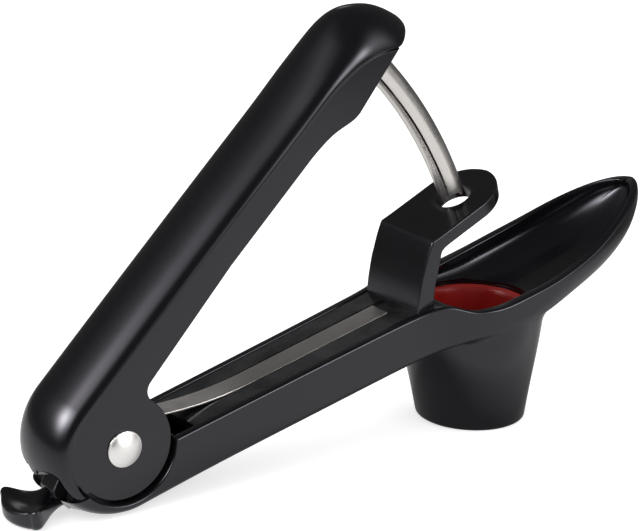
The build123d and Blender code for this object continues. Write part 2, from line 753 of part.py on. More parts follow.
with BuildPart() as lock_latch:
    # Thumb tab from the side, then cut to its plan: a neck that widens to a bowed lip.
    with BuildSketch(handle_side):
        with BuildLine():
            Spline((tab_neck_start, -6.5), (-17.0, -7.0), (-20.0, -6.4), (-22.4, -5.5))
            Spline((-22.4, -5.5), (tab_end, -7.2), (-23.4, -8.7))
            Polyline((-23.4, -8.7), (-21.6, -9.1), (-17.0, -9.2), (tab_neck_start, -9.6), (tab_neck_start, -6.5))
        make_face()
    extrude(amount=tab_half_width, both=True)
    with BuildSketch(deck_plane(handle_tilt, 0, handle_bottom)):
        with BuildLine():
            Line((tab_neck_start, -tab_neck_half_width), (tab_neck_start, tab_neck_half_width))
            Line((tab_neck_start, tab_neck_half_width), (-17.6, tab_neck_half_width))
            Spline((-17.6, tab_neck_half_width), (-19.4, 5.7), (-21.4, tab_half_width), (-22.3, 6.4))
            Spline((-22.3, 6.4), (-23.5, 3.6), (tab_end, 0), (-23.5, -3.6), (-22.3, -6.4))
            Spline((-22.3, -6.4), (-21.4, -tab_half_width), (-19.4, -5.7), (-17.6, -tab_neck_half_width))
            Line((-17.6, -tab_neck_half_width), (tab_neck_start, -tab_neck_half_width))
        make_face()
    extrude(amount=-handle_bottom, mode=Mode.INTERSECT)
    # Boss, the arm round the tail and the hook at its end.
    with BuildSketch(handle_side):
        with Locations(latch_pin_at):
            Circle(latch_boss_radius)
            Rectangle(3.4, 3.2, align=(Align.MAX, Align.CENTER))
        with BuildLine():
            tip_angle = hook_end_angle + hook_tip_angle
            pin_angle = 214.8
            CenterArc((0, 0), hook_outer, hook_end_angle, pin_angle - hook_end_angle)
            Line(polar(hook_outer, pin_angle), polar(hook_inner, pin_angle))
            CenterArc((0, 0), hook_inner, pin_angle, tip_angle - pin_angle)
            Line(polar(hook_inner, tip_angle), polar(hook_tip, tip_angle))
            CenterArc((0, 0), hook_tip, tip_angle, -hook_tip_angle)
            Line(polar(hook_tip, hook_end_angle), polar(hook_outer, hook_end_angle))
        make_face()
    extrude(amount=latch_half_width, both=True)
    with BuildSketch(handle_side):
        with Locations(latch_pin_at):
            Circle(pin_radius + bore_gap)
    extrude(amount=2 * latch_half_width, both=True, mode=Mode.SUBTRACT)
lock_latch.part.label = "lock_latch"
export_step(lock_latch.part, "parts/lock_latch.step")

with BuildPart() as latch_pin:
    with BuildSketch(handle_side):
        with Locations(latch_pin_at):
            Circle(pin_radius)
    extrude(amount=latch_pin_reach, both=True)
latch_pin.part.label = "latch_pin"
export_step(latch_pin.part, "parts/latch_pin.step")
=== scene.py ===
import json
import math

import bmesh
import bpy
import numpy as np
from mathutils import Matrix, Vector


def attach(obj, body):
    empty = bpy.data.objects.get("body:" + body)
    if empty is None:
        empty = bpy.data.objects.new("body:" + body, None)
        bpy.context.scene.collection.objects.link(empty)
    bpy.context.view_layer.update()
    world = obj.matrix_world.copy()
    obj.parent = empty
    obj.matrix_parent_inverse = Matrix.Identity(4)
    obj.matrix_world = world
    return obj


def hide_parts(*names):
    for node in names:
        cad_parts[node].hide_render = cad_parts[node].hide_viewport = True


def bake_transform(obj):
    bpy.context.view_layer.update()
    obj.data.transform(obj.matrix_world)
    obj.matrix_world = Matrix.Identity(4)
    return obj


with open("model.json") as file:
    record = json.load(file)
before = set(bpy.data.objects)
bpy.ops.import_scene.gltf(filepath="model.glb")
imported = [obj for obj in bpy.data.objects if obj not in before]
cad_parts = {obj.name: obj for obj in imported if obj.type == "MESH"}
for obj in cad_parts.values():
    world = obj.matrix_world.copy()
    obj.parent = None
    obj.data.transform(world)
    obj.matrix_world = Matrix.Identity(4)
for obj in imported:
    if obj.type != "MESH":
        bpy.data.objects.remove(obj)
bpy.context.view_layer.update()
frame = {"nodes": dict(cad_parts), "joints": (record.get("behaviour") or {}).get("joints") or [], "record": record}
print("stage: frame loaded,", len(frame["nodes"]), "nodes")

mm = 0.001
joints = {joint["name"]: joint for joint in frame["joints"]}
pivotPlace = np.array(joints["lever_hinge"]["pos_m"]) / mm
handleTilt = 14.7
leverTilt = 45.7


def placed(tilt, along, across, up):
    # Side-view place to the shared frame: (along, up) is turned by the tilt about the pivot, across is +Y.
    along, across, up = np.broadcast_arrays(*(np.asarray(value, float) for value in (along, across, up)))
    turn = math.radians(tilt)
    x = pivotPlace[0] + along * math.cos(turn) - up * math.sin(turn)
    z = pivotPlace[2] + along * math.sin(turn) + up * math.cos(turn)
    return np.stack([x, across, z], axis=-1) * mm


def handleCoordinates(x, z):
    # The frame's x and z in millimetres as (along, up) of the lower handle.
    turn = math.radians(handleTilt)
    dx, dz = x - pivotPlace[0], z - pivotPlace[2]
    return dx * math.cos(turn) + dz * math.sin(turn), dz * math.cos(turn) - dx * math.sin(turn)


latchPlace = np.array(joints["latch_hinge"]["pos_m"]) / mm
latchPin = handleCoordinates(latchPlace[0], latchPlace[2])


def smoothTable(table):
    # Natural cubic spline through the rows: first column the place, the others what changes along it.
    table = np.array(table, float)
    knots, values = table[:, 0], table[:, 1:]
    gaps = np.diff(knots)
    slopes = np.diff(values, axis=0) / gaps[:, None]
    inner = np.arange(1, len(knots) - 1)
    system = np.eye(len(knots))
    system[inner, inner - 1] = gaps[:-1]
    system[inner, inner] = 2 * (gaps[:-1] + gaps[1:])
    system[inner, inner + 1] = gaps[1:]
    right = np.zeros_like(values)
    right[inner] = 6 * np.diff(slopes, axis=0)
    bends = np.linalg.solve(system, right)

    def at(place):
        place = np.clip(np.asarray(place, float), knots[0], knots[-1])
        i = np.clip(np.searchsorted(knots, place, side="right") - 1, 0, len(gaps) - 1)
        gap = gaps[i][..., None]
        t = (place - knots[i])[..., None] / gap
        s = 1 - t
        straight = s * values[i] + t * values[i + 1]
        return straight + gap**2 / 6 * ((s**3 - s) * bends[i] + (t**3 - t) * bends[i + 1])

    return at


def turns(start, end, count):
    return np.radians(np.linspace(start, end, count))


def fullTurn(count):
    return np.linspace(0, 2 * np.pi, count, endpoint=False)


def arc(centre, radius, start, end, count):
    # Points (centre + radius * direction) at even angles in degrees from start to end, both ends included.
    turn = turns(start, end, count)
    return np.stack([centre[0] + radius * np.cos(turn), centre[1] + radius * np.sin(turn)], axis=-1)


def smoothLine(points, count):
    # A cubic spline through points in the plane, by chord length, sampled evenly.
    points = np.array(points, float)
    chord = np.concatenate([[0], np.cumsum(np.linalg.norm(np.diff(points, axis=0), axis=1))])
    return smoothTable(np.column_stack([chord, points]))(np.linspace(0, chord[-1], count))


def mirrored(tilt, along, across, up):
    # Half sections, from the middle out and back to it, made whole with their mirror image.
    half = placed(tilt, along, across, up)
    other = placed(tilt, along, -across, up)
    return np.concatenate([half, other[:, -2:0:-1]], axis=1)


def levelRing(centreX, radius, height, turn):
    return np.stack([centreX + radius * np.cos(turn), radius * np.sin(turn), height + 0 * turn], axis=-1)


def gridShell(points, ringed=False, caps=(True, True)):
    # Quads over a grid of points (rows, columns, 3), columns joined; ringed joins the rows, caps end them.
    rows, columns = points.shape[:2]
    index = np.arange(rows * columns).reshape(rows, columns)
    flat = [] if ringed else [index[0, ::-1].tolist()] * caps[0] + [index[-1].tolist()] * caps[1]
    if ringed:
        index = np.vstack([index, index[:1]])
    index = np.hstack([index, index[:, :1]])
    quads = np.stack([index[:-1, :-1], index[:-1, 1:], index[1:, 1:], index[1:, :-1]], axis=-1)
    return points.reshape(-1, 3), quads.reshape(-1, 4).tolist() + flat


def sidePrism(tilt, outline, low, high):
    # A side-view outline made solid from low to high across.
    outline = np.array(outline, float)
    return gridShell(np.stack([placed(tilt, outline[:, 0], across, outline[:, 1]) for across in (low, high)]))


def disc(tilt, centre, radius, count, half):
    return sidePrism(tilt, arc(centre, radius, 0, 360, count + 1)[:-1], -half, half)


def spunShell(centre, profile, count, axis):
    # A closed profile (radius, height) carried round an axis through centre: the wall of a solid of revolution.
    turn = fullTurn(count)[:, None]
    radius, height = np.array(profile, float).T
    a, b = radius * np.cos(turn), radius * np.sin(turn)
    c = height + 0 * turn
    points = np.stack([a, b, c] if axis == "z" else [a, c, b], axis=-1) + np.array(centre)
    return gridShell(points * mm, ringed=True)


def addObject(name, data):
    added = bpy.data.objects.new(name, data)
    bpy.context.scene.collection.objects.link(added)
    return added


def objectFrom(name, whole):
    mesh = bpy.data.meshes.new(name)
    whole.to_mesh(mesh)
    whole.free()
    return addObject(name, mesh)


def makeObject(name, *shells):
    # Each shell is merged by itself and turned to face outwards, then all are gathered in one object.
    whole = bmesh.new()
    for points, faces in shells:
        part = bpy.data.meshes.new("shell")
        part.from_pydata(points, [], faces)
        work = bmesh.new()
        work.from_mesh(part)
        bmesh.ops.remove_doubles(work, verts=work.verts, dist=2e-7)
        bmesh.ops.dissolve_degenerate(work, edges=work.edges, dist=1e-7)
        bmesh.ops.recalc_face_normals(work, faces=work.faces)
        work.to_mesh(part)
        work.free()
        whole.from_mesh(part)
        bpy.data.meshes.remove(part)
    return objectFrom(name, whole)


def merged(name, *parts):
    # Finished shells of one moulding gathered in one object.
    whole = bmesh.new()
    for part in parts:
        whole.from_mesh(part.data)
        bpy.data.objects.remove(part)
    return objectFrom(name, whole)


def applyModifiers(piece):
    bpy.context.view_layer.update()
    graph = bpy.context.evaluated_depsgraph_get()
    mesh = bpy.data.meshes.new_from_object(piece.evaluated_get(graph))
    piece.modifiers.clear()
    old, piece.data = piece.data, mesh
    mesh.name = old.name
    bpy.data.meshes.remove(old)


def cutWith(target, tool):
    # The tool's solid is cut from the target and is gone afterwards.
    cut = target.modifiers.new("cut", "BOOLEAN")
    cut.operation, cut.solver, cut.object = "DIFFERENCE", "EXACT", tool
    applyModifiers(target)
    bpy.data.objects.remove(tool)


def beveled(piece, width, segments):
    # The bevel is made part of the mesh, so that shells with other edges can join it.
    bevel = piece.modifiers.new("roundedEdges", "BEVEL")
    bevel.width, bevel.segments = width * mm, segments
    bevel.limit_method, bevel.angle_limit = "ANGLE", math.radians(32)
    applyModifiers(piece)


def finishPiece(piece, body, nodes, sharp=32.0):
    # Even shading, the slot's material, and the piece's place in the frame.
    mesh = piece.data
    slot = slots[nodes[0]]
    mesh.polygons.foreach_set("use_smooth", np.ones(len(mesh.polygons), bool))
    mesh.set_sharp_from_angle(angle=math.radians(sharp))
    piece.modifiers.new("evenShading", "WEIGHTED_NORMAL").keep_sharp = True
    mesh.materials.clear()
    mesh.materials.append(materials[slot])
    if body:
        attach(piece, body)
    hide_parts(*nodes)
    print("stage:", piece.name, len(mesh.polygons), "faces")


# Materials


def join(tree, source, target):
    # A socket gets a link from another one, or a constant.
    if isinstance(source, bpy.types.NodeSocket):
        tree.links.new(source, target)
    else:
        target.default_value = source


def feed(tree, node, inputs):
    for label, value in inputs.items():
        join(tree, value, node.inputs[label])
    return node


def addNode(tree, kind, inputs=None, **settings):
    node = tree.nodes.new(kind)
    for name, value in settings.items():
        setattr(node, name, value)
    return feed(tree, node, inputs or {})


def newGroup(name, inputs, outputs):
    # The size of an input's first value, or an output's number, tells the kind of its socket.
    group = bpy.data.node_groups.new(name, "ShaderNodeTree")
    kinds = {1: "NodeSocketFloat", 3: "NodeSocketVector", 4: "NodeSocketColor"}
    for label, value in inputs.items():
        kind = kinds[np.size(value)]
        group.interface.new_socket(name=label, in_out="INPUT", socket_type=kind).default_value = value
    for label, size in outputs.items():
        group.interface.new_socket(name=label, in_out="OUTPUT", socket_type=kinds[size])
    return group, group.nodes.new("NodeGroupInput").outputs, group.nodes.new("NodeGroupOutput").inputs


def noise(tree, place, scale, detail, roughness, distortion=0.0):
    inputs = {"Scale": scale, "Detail": detail, "Roughness": roughness, "Distortion": distortion}
    inputs["Vector"] = place
    return addNode(tree, "ShaderNodeTexNoise", inputs).outputs["Fac"]


def spread(tree, value, low, high, newLow=0.0, newHigh=1.0):
    # Map Range, clamped: low..high of the value becomes newLow..newHigh.
    inputs = {"Value": value, "From Min": low, "From Max": high, "To Min": newLow, "To Max": newHigh}
    return addNode(tree, "ShaderNodeMapRange", inputs).outputs["Result"]


def compute(tree, operation, first, *others):
    # One operation in a chain: first with the second, what comes of it with the third, and so on.
    for other in others:
        first = addNode(tree, "ShaderNodeMath", {0: first, 1: other}, operation=operation).outputs[0]
    return first


def times(tree, *values):
    return compute(tree, "MULTIPLY", *values)


def plus(tree, *values):
    return compute(tree, "ADD", *values)


def blendColours(tree, share, first, second):
    return addNode(tree, "ShaderNodeMix", {0: share, 6: first, 7: second}, data_type="RGBA").outputs[2]


def makeEdgeWearAndPaintedSheen():
    # Where the surface turns outwards sharply the colour is paler: partly wear from handling, partly a painted
    # edge highlight. Pointiness broken up by noise.
    group, given, result = newGroup("edgeWearAndPaintedSheen", {"Amount": 1.0, "Patch Scale": 140.0}, {"Mask": 1})
    place = addNode(group, "ShaderNodeTexCoord").outputs["Object"]
    patches = noise(group, place, given["Patch Scale"], 4.0, 0.6)
    edges = spread(group, addNode(group, "ShaderNodeNewGeometry").outputs["Pointiness"], 0.515, 0.58)
    broken = spread(group, patches, 0.38, 0.62, 0.25, 1.0)
    join(group, times(group, edges, broken, given["Amount"]), result["Mask"])
    return group


def makeMouldedGloss():
    # Polished moulding: slow flow marks, fine orange peel, hairline scuffs and a few specks of dust.
    group, given, result = newGroup(
        "mouldedGloss",
        {"Colour": (0.0, 0.0, 0.0, 1.0), "Roughness": 0.2, "Flow Scale": 34.0, "Scuffs": 0.5, "Specks": 0.5},
        {"Colour": 4, "Roughness": 1, "Height": 1},
    )
    place = addNode(group, "ShaderNodeTexCoord").outputs["Object"]
    flow = noise(group, place, given["Flow Scale"], 2.0, 0.45, 0.6)
    peel = noise(group, place, 1100.0, 2.0, 0.5)
    stretch = {"Vector": place, "Rotation": (0.3, 0.5, 0.2), "Scale": (260.0, 5200.0, 2600.0)}
    hairs = noise(group, addNode(group, "ShaderNodeMapping", stretch).outputs["Vector"], 1.0, 5.0, 0.65)
    scuff = times(group, spread(group, hairs, 0.60, 0.74), given["Scuffs"])
    dots = addNode(group, "ShaderNodeTexVoronoi", {"Vector": place, "Scale": 230.0, "Randomness": 1.0}).outputs
    sizes = spread(group, dots["Color"], 0.86, 1.0, 0.0, 0.09)
    dust = times(group, compute(group, "LESS_THAN", dots["Distance"], sizes), given["Specks"])
    worn = plus(group, times(group, scuff, 0.05), times(group, dust, 0.3))
    join(group, blendColours(group, worn, given["Colour"], (0.22, 0.22, 0.23, 1.0)), result["Colour"])
    cloud = spread(group, flow, 0.3, 0.7, -0.035, 0.035)
    rough = plus(group, given["Roughness"], cloud, times(group, scuff, 0.10), times(group, dust, 0.35))
    join(group, rough, result["Roughness"])
    join(group, plus(group, flow, times(group, peel, 0.035), times(group, scuff, -0.02)), result["Height"])
    return group


def makeDrawnSteel():
    # Streaks that follow the piece's own lengthwise map, with faint clouds and handling marks.
    group, given, result = newGroup(
        "drawnSteel",
        {"Colour": (0.6, 0.58, 0.56, 1.0), "Roughness": 0.28, "Place": (0.0, 0.0, 0.0), "Streaks": 1.0},
        {"Colour": 4, "Roughness": 1, "Height": 1},
    )
    lines = noise(group, given["Place"], 1.0, 6.0, 0.7)
    cloud = noise(group, addNode(group, "ShaderNodeTexCoord").outputs["Object"], 160.0, 3.0, 0.55)
    streak = times(group, spread(group, lines, 0.3, 0.7), given["Streaks"])
    shaded = blendColours(group, times(group, streak, 0.35), given["Colour"], (0.42, 0.4, 0.38, 1.0))
    join(group, shaded, result["Colour"])
    clouds = spread(group, cloud, 0.35, 0.65, -0.03, 0.05)
    join(group, plus(group, given["Roughness"], times(group, streak, 0.10), clouds), result["Roughness"])
    join(group, streak, result["Height"])
    return group


edgeWearAndPaintedSheen = makeEdgeWearAndPaintedSheen()
mouldedGloss = makeMouldedGloss()
drawnSteel = makeDrawnSteel()


def newMaterial(name):
    material = bpy.data.materials.new(name)
    material.use_nodes = True
    tree = material.node_tree
    return material, tree, tree.nodes["Principled BSDF"]


def bumped(tree, height, distance, strength):
    inputs = {"Height": height, "Distance": distance * mm, "Strength": strength}
    return addNode(tree, "ShaderNodeBump", inputs).outputs["Normal"]


plasticGloss = {"IOR": 1.54, "Specular Tint": (0.93, 0.9, 1.0, 1.0)}


def surfaceMaterial(name, group, look, detail, wearAndPaintedSheen, wearAndPaintedSheenColour, bump, streakScale=None):
    # A surface group, paler at sharp edges (wear and a painted edge highlight); the streaks of steel follow the
    # lengthwise attribute.
    material, tree, shader = newMaterial(name)
    surface = addNode(tree, "ShaderNodeGroup", {**look, **detail}, node_tree=group)
    if streakScale:
        place = addNode(tree, "ShaderNodeAttribute", attribute_name="lengthwise").outputs["Vector"]
        scaled = addNode(tree, "ShaderNodeMapping", {"Vector": place, "Scale": streakScale}).outputs["Vector"]
        join(tree, scaled, surface.inputs["Place"])
    # Paler colour at sharp edges: wear, and a painted edge highlight.
    wearAndPaintedSheenMask = addNode(tree, "ShaderNodeGroup", {"Amount": wearAndPaintedSheen}, node_tree=edgeWearAndPaintedSheen).outputs["Mask"]
    inputs = {
        "Base Color": blendColours(tree, wearAndPaintedSheenMask, surface.outputs["Colour"], wearAndPaintedSheenColour),
        "Roughness": surface.outputs["Roughness"],
        "Normal": bumped(tree, surface.outputs["Height"], bump, 1.0),
    }
    constants = {"Metallic": 1.0} if streakScale else plasticGloss
    feed(tree, shader, {**inputs, **constants})
    return material


def siliconeMaterial():
    # Smooth rubber with a faint bloom and slow colour clouds.
    material, tree, shader = newMaterial("linerSilicone")
    place = addNode(tree, "ShaderNodeTexCoord").outputs["Object"]
    cloud = noise(tree, place, 120.0, 3.0, 0.5)
    grain = noise(tree, place, 3200.0, 2.0, 0.6)
    share = spread(tree, cloud, 0.3, 0.7)
    inputs = {
        "Base Color": blendColours(tree, share, (0.24, 0.006, 0.004, 1.0), (0.34, 0.012, 0.008, 1.0)),
        "Roughness": spread(tree, cloud, 0.3, 0.7, 0.3, 0.42),
        "Subsurface Weight": 0.12,
        "Subsurface Radius": (0.004, 0.001, 0.0008),
        "IOR": 1.42,
        "Normal": bumped(tree, grain, 0.01, 0.6),
    }
    feed(tree, shader, inputs)
    return material


materials = {
    "handle_plastic": surfaceMaterial(
        "handlePlastic",
        mouldedGloss,
        {"Colour": (0.0042, 0.004, 0.0048, 1.0), "Roughness": 0.16},
        {"Flow Scale": 38.0, "Scuffs": 0.5, "Specks": 0.6},
        wearAndPaintedSheen=0.6,
        wearAndPaintedSheenColour=(0.03, 0.03, 0.032, 1.0),
        bump=0.02,
    ),
    "insert_plastic": surfaceMaterial(
        "insertPlastic",
        mouldedGloss,
        {"Colour": (0.004, 0.0038, 0.0044, 1.0), "Roughness": 0.17},
        {"Flow Scale": 90.0, "Scuffs": 0.9, "Specks": 0.5},
        wearAndPaintedSheen=0.8,
        wearAndPaintedSheenColour=(0.035, 0.035, 0.037, 1.0),
        bump=0.05,
    ),
    "plunger_steel": surfaceMaterial(
        "plungerSteel",
        drawnSteel,
        {"Colour": (0.79, 0.755, 0.72, 1.0), "Roughness": 0.26},
        {"Streaks": 0.7},
        wearAndPaintedSheen=0.5,
        wearAndPaintedSheenColour=(0.85, 0.83, 0.8, 1.0),
        bump=0.004,
        streakScale=(60.0, 2600.0, 60.0),
    ),
    "spring_steel": surfaceMaterial(
        "springSteel",
        drawnSteel,
        {"Colour": (0.55, 0.52, 0.5, 1.0), "Roughness": 0.3},
        {"Streaks": 0.9},
        wearAndPaintedSheen=0.8,
        wearAndPaintedSheenColour=(0.75, 0.72, 0.68, 1.0),
        bump=0.004,
        streakScale=(70.0, 3000.0, 70.0),
    ),
    "rivet_steel": surfaceMaterial(
        "rivetSteel",
        drawnSteel,
        {"Colour": (0.95, 0.93, 0.91, 1.0), "Roughness": 0.3},
        {"Streaks": 0.5},
        wearAndPaintedSheen=0.5,
        wearAndPaintedSheenColour=(0.85, 0.84, 0.82, 1.0),
        bump=0.003,
        streakScale=(1500.0, 25.0, 25.0),
    ),
    "liner_silicone": siliconeMaterial(),
}
slots = {part["node"]: part["material_slot"] for part in frame["record"]["subparts"]}
print("stage: materials made")


def markLengthwise(piece, place):
    # A point attribute that streaks follow: (lengthwise, round about, through), worked out from the points.
    mesh = piece.data
    points = np.zeros(len(mesh.vertices) * 3)
    mesh.vertices.foreach_get("co", points)
    values = place(points.reshape(-1, 3))
    mesh.attributes.new("lengthwise", "FLOAT_VECTOR", "POINT").data.foreach_set("vector", values.ravel())


# Lower handle: a channel, a bowl with its splash shield, a round tail and a cup

bowl = {
    "straightFrom": 120.0,
    "outerTip": 153.9,
    "innerTip": 151.3,
    "edge": 0.6,
    # along, half width, rim, bottom, corner rise, corner inset
    "outside": (
        (0.0, 10.05, -3.0, -14.65, 1.8, 2.4),
        (20.0, 10.2, -3.0, -14.15, 1.6, 1.8),
        (40.0, 10.42, -3.0, -14.15, 1.6, 1.6),
        (60.0, 10.72, -3.0, -14.2, 1.6, 1.6),
        (72.0, 11.05, -3.0, -14.2, 1.6, 1.6),
        (80.0, 11.7, -3.0, -14.2, 1.6, 1.6),
        (83.0, 12.35, -3.05, -14.2, 1.6, 1.6),
        (85.6, 13.1, -3.6, -14.3, 1.6, 1.7),
        (88.2, 13.9, -5.0, -14.4, 1.7, 1.8),
        (91.0, 14.8, -6.7, -14.6, 1.7, 1.9),
        (94.0, 15.7, -7.6, -15.0, 1.8, 2.1),
        (98.0, 16.4, -8.3, -15.5, 2.1, 2.7),
        (104.0, 16.8, -8.5, -16.4, 3.2, 4.4),
        (112.0, 16.8, -8.5, -17.0, 5.2, 8.0),
        (120.0, 16.3, -8.0, -16.8, 7.0, 11.0),
        (128.0, 15.1, -7.1, -15.9, 7.2, 11.0),
        (136.0, 13.0, -5.55, -14.5, 7.0, 9.8),
        (143.0, 10.3, -4.1, -12.1, 6.0, 7.8),
        (148.0, 7.5, -3.15, -9.3, 4.6, 5.6),
        (151.4, 4.7, -2.6, -6.8, 3.1, 3.4),
        (153.4, 2.0, -2.45, -4.7, 1.6, 1.5),
        (153.9, 0.0, -2.5, -4.1, 1.2, 0.0),
    ),
    # along, half width, bottom, corner rise, corner inset
    "inside": (
        (86.0, 11.0, -9.4, 3.0, 4.0),
        (91.5, 12.9, -10.6, 3.4, 4.6),
        (97.0, 13.7, -12.0, 4.0, 5.6),
        (104.0, 14.1, -13.9, 5.0, 7.2),
        (112.0, 14.5, -15.4, 6.2, 9.4),
        (120.0, 14.1, -15.3, 6.8, 10.2),
        (128.0, 13.1, -14.4, 6.6, 9.8),
        (136.0, 11.2, -12.8, 6.2, 8.6),
        (143.0, 8.5, -10.1, 5.0, 6.4),
        (147.6, 5.7, -7.4, 3.2, 4.0),
        (150.6, 2.3, -4.9, 1.2, 1.5),
        (151.3, 0.0, -3.9, 0.6, 0.0),
    ),
}
channel = {
    "wall": 1.9,
    "ledge": 1.0,
    "ledgeUp": -5.65,
    "floor": -12.4,
    "lugSide": 6.1,
    "cradleInside": 13.4,
    # where the wall's arc about the tail, the tray, the deck and the slope into the bowl end
    "ends": (12.4, 84.65, 86.2, 88.4),
    "cradleRim": -6.3,
    "latchSlot": (3.25, -10.65),
    # how much the tail's end is deeper than its bottom, with a rounder corner
    "tailGrowth": (2.5, 1.6, 6.5),
}


def tipPlace(along, start, tip, reach):
    # How far round the tip a station lies: past the start the place follows a quarter sine to the tip.
    share = np.clip((along - start) / (tip - start), 0, 1)
    return np.where(along > start, start + reach * np.arcsin(share), along)


def alongAt(place, start, tip, reach):
    turned = np.clip((place - start) / reach, 0, np.pi / 2)
    return np.where(place > start, start + (tip - start) * np.sin(turned), place)


def stationTable(rows, *ends):
    rows = np.array(rows)
    return smoothTable(np.column_stack([tipPlace(rows[:, 0], *ends), rows[:, 1:]]))


bowlReach = bowl["outerTip"] - bowl["straightFrom"]
outerEnds, innerEnds = ((bowl["straightFrom"], bowl[name], bowlReach) for name in ("outerTip", "innerTip"))
outsideAt = stationTable(bowl["outside"], *outerEnds)
insideAt = stationTable(bowl["inside"], *innerEnds)


def handleGrid():
    # One closed section (outer bottom, wall, rim, inner wall, floor) carried from the tail round the tip.
    wallArc, trayEnd, deckEnd, bowlStart = channel["ends"]
    tailTurns = np.linspace(1, 0, 26)[:-1]
    stations = [
        0 * tailTurns,
        wallArc * np.sin(turns(0, 75.9, 22)),
        [12.2, 12.39, 12.41, 13.0],
        np.linspace(14, 84.4, 48),
        [trayEnd - 0.01, trayEnd + 0.01],
        np.linspace(85.2, deckEnd, 3),
        np.linspace(86.4, bowlStart, 11),
        np.linspace(89.0, 120.0, 36),
        np.linspace(121.0, 172.0, 54),
        [172.8, 173.15, bowl["straightFrom"] + bowlReach * np.pi / 2],
    ]
    place = np.concatenate(stations)
    tailShare = np.concatenate([tailTurns, np.zeros(len(place) - len(tailTurns))])[:, None]
    w, rim, bottom, rise, inset = (column[:, None] for column in outsideAt(place).T)
    iw, ib, ir, ii = (column[:, None] for column in insideAt(place).T)
    p = place[:, None]
    edge = bowl["edge"]
    near = p < wallArc
    rim = np.where(near, -np.sqrt(np.clip(wallArc**2 - p**2, 9.0, None)), rim)
    trough = (p > wallArc) & (p < trayEnd)
    plain = near | trough
    deck = (p > trayEnd) & (p < deckEnd + 0.01)
    # Inner profile: half width above the ledge, ledge height, half width below it, floor.
    sink = 0.5 - 0.5 * np.cos(np.pi * np.clip((p - deckEnd) / (bowlStart - deckEnd), 0, 1))
    innerEdge = np.where(plain, 0.25, np.where(deck, 0.005, 0.005 + 0.5 * sink))
    upper = np.where(near, channel["lugSide"], np.where(trough, w - channel["wall"], iw))
    grown = np.clip((tailShare - 0.25) / 0.75, 0, 1) ** 1.5
    deeper, rounder, broader = channel["tailGrowth"]
    bottom = bottom - deeper * grown
    rise, inset = rise + rounder * grown, inset + broader * grown
    cradle = -np.sqrt(channel["cradleInside"] ** 2 - np.minimum(p, wallArc) ** 2)
    floor = np.where(near, cradle, np.where(trough, channel["floor"], rim + (ib - rim) * sink))
    ledgeUp = np.where(near, floor + 0.5, np.where(trough, channel["ledgeUp"], rim - (rim - floor) * 0.3))
    ledgeUp = np.minimum(ledgeUp, rim - innerEdge)
    lower = np.where(trough, upper - channel["ledge"], upper)
    floorRise = np.minimum(np.where(plain, 0.4, ir * sink), np.maximum(ledgeUp - floor, 0.0))
    floorInset = np.where(plain, 0.4, ii * sink)
    s = np.linspace(0, 1, 6)[None, :]
    t = np.linspace(0, 1, 10)[None, 1:]
    turn = turns(0, 90, 6)[None, 1:]
    halves = np.array([[0.5, 1.0]])
    # Runs of the half section: across, up, and 0 where the place follows the outer tip, 1 the inner one.
    runs = [
        ((w - inset) * s, bottom, 0),
        (w - inset * (1 - t) ** 2, bottom + rise * t**2, 0),
        (w, bottom + rise + (rim - edge - bottom - rise) * np.array([[0.3, 0.65, 1.0]]), 0),
        (w - edge + edge * np.cos(turn), rim - edge + edge * np.sin(turn), 0),
        (w - edge + (upper + innerEdge - w + edge) * halves, rim, halves),
        (upper + innerEdge - innerEdge * np.sin(turn), rim - innerEdge + innerEdge * np.cos(turn), 1),
        (upper, rim - innerEdge + (ledgeUp - rim + innerEdge) * halves, 1),
        (lower, ledgeUp, 1),
        (lower, ledgeUp + (floor + floorRise - ledgeUp) * halves, 1),
        (lower - floorInset * (0.06 * t + 0.94 * t**2), floor + floorRise * (1 - t) ** 2, 1),
        ((lower - floorInset) * (1 - s[:, 1:]), floor, 1),
    ]
    runs = [np.broadcast_arrays(*run, p) for run in runs]
    across, up, innerShare = (np.hstack([run[i] for run in runs]) for i in range(3))
    along = alongAt(p, *outerEnds) * (1 - innerShare) + alongAt(p, *innerEnds) * innerShare
    # The tail turns about the pivot, down to a level end with the latch's slot in it.
    slotHalf, slotEnd = channel["latchSlot"]
    end = np.where(across < slotHalf, slotEnd, channel["cradleRim"])
    radius = np.maximum(-up, 1.0)
    endTurn = np.arcsin(np.clip(-end / radius, -1, 1))
    turned = -np.pi / 2 - tailShare * (np.pi / 2 - endTurn)
    isTail = tailShare > 0
    along = np.where(isTail, radius * np.cos(turned), along)
    up = np.where(isTail, radius * np.sin(turned), up)
    return mirrored(handleTilt, along, across, up)


lowerHandle = makeObject("lowerHandle", gridShell(handleGrid(), caps=(True, False)))

# Cup

cup = {
    "centre": 37.7,
    "bore": 36.9,
    "footRadius": 13.05,
    "footEdge": 0.7,
    "wall": 1.9,
    "linerTop": 28.05,
    "linerRadius": 13.75,
    # bottom, top and radius of the shelf under the liner
    "shelf": (13.4, 15.0, 10.6),
    # height, growth of the radius, lean of the centre
    "outside": ((0.0, 0.0, 0.0), (9.0, 1.55, -0.6), (18.0, 3.1, -1.0), (27.5, 3.5, -0.2), (36.0, 3.7, 0.3)),
    # length of the fillet under the bowl: toward the shield, at the sides, toward the handle
    "fillet": (4.6, 2.2, 1.2),
    # the wall's hidden top: how far under the liner's top, and its share of the way in from the fillet
    "hiddenTop": (0.6, 0.06),
    "chamfer": 0.3,
    # the tool that opens the bore into the bowl: how far it goes under the foot and over the liner, its play
    "boreTool": (4.0, 1.2, 0.03),
    "columns": 160,
}


def boreRadius(height):
    foot = cup["footRadius"] - cup["wall"]
    return foot + (cup["linerRadius"] - foot) * height / cup["linerTop"]


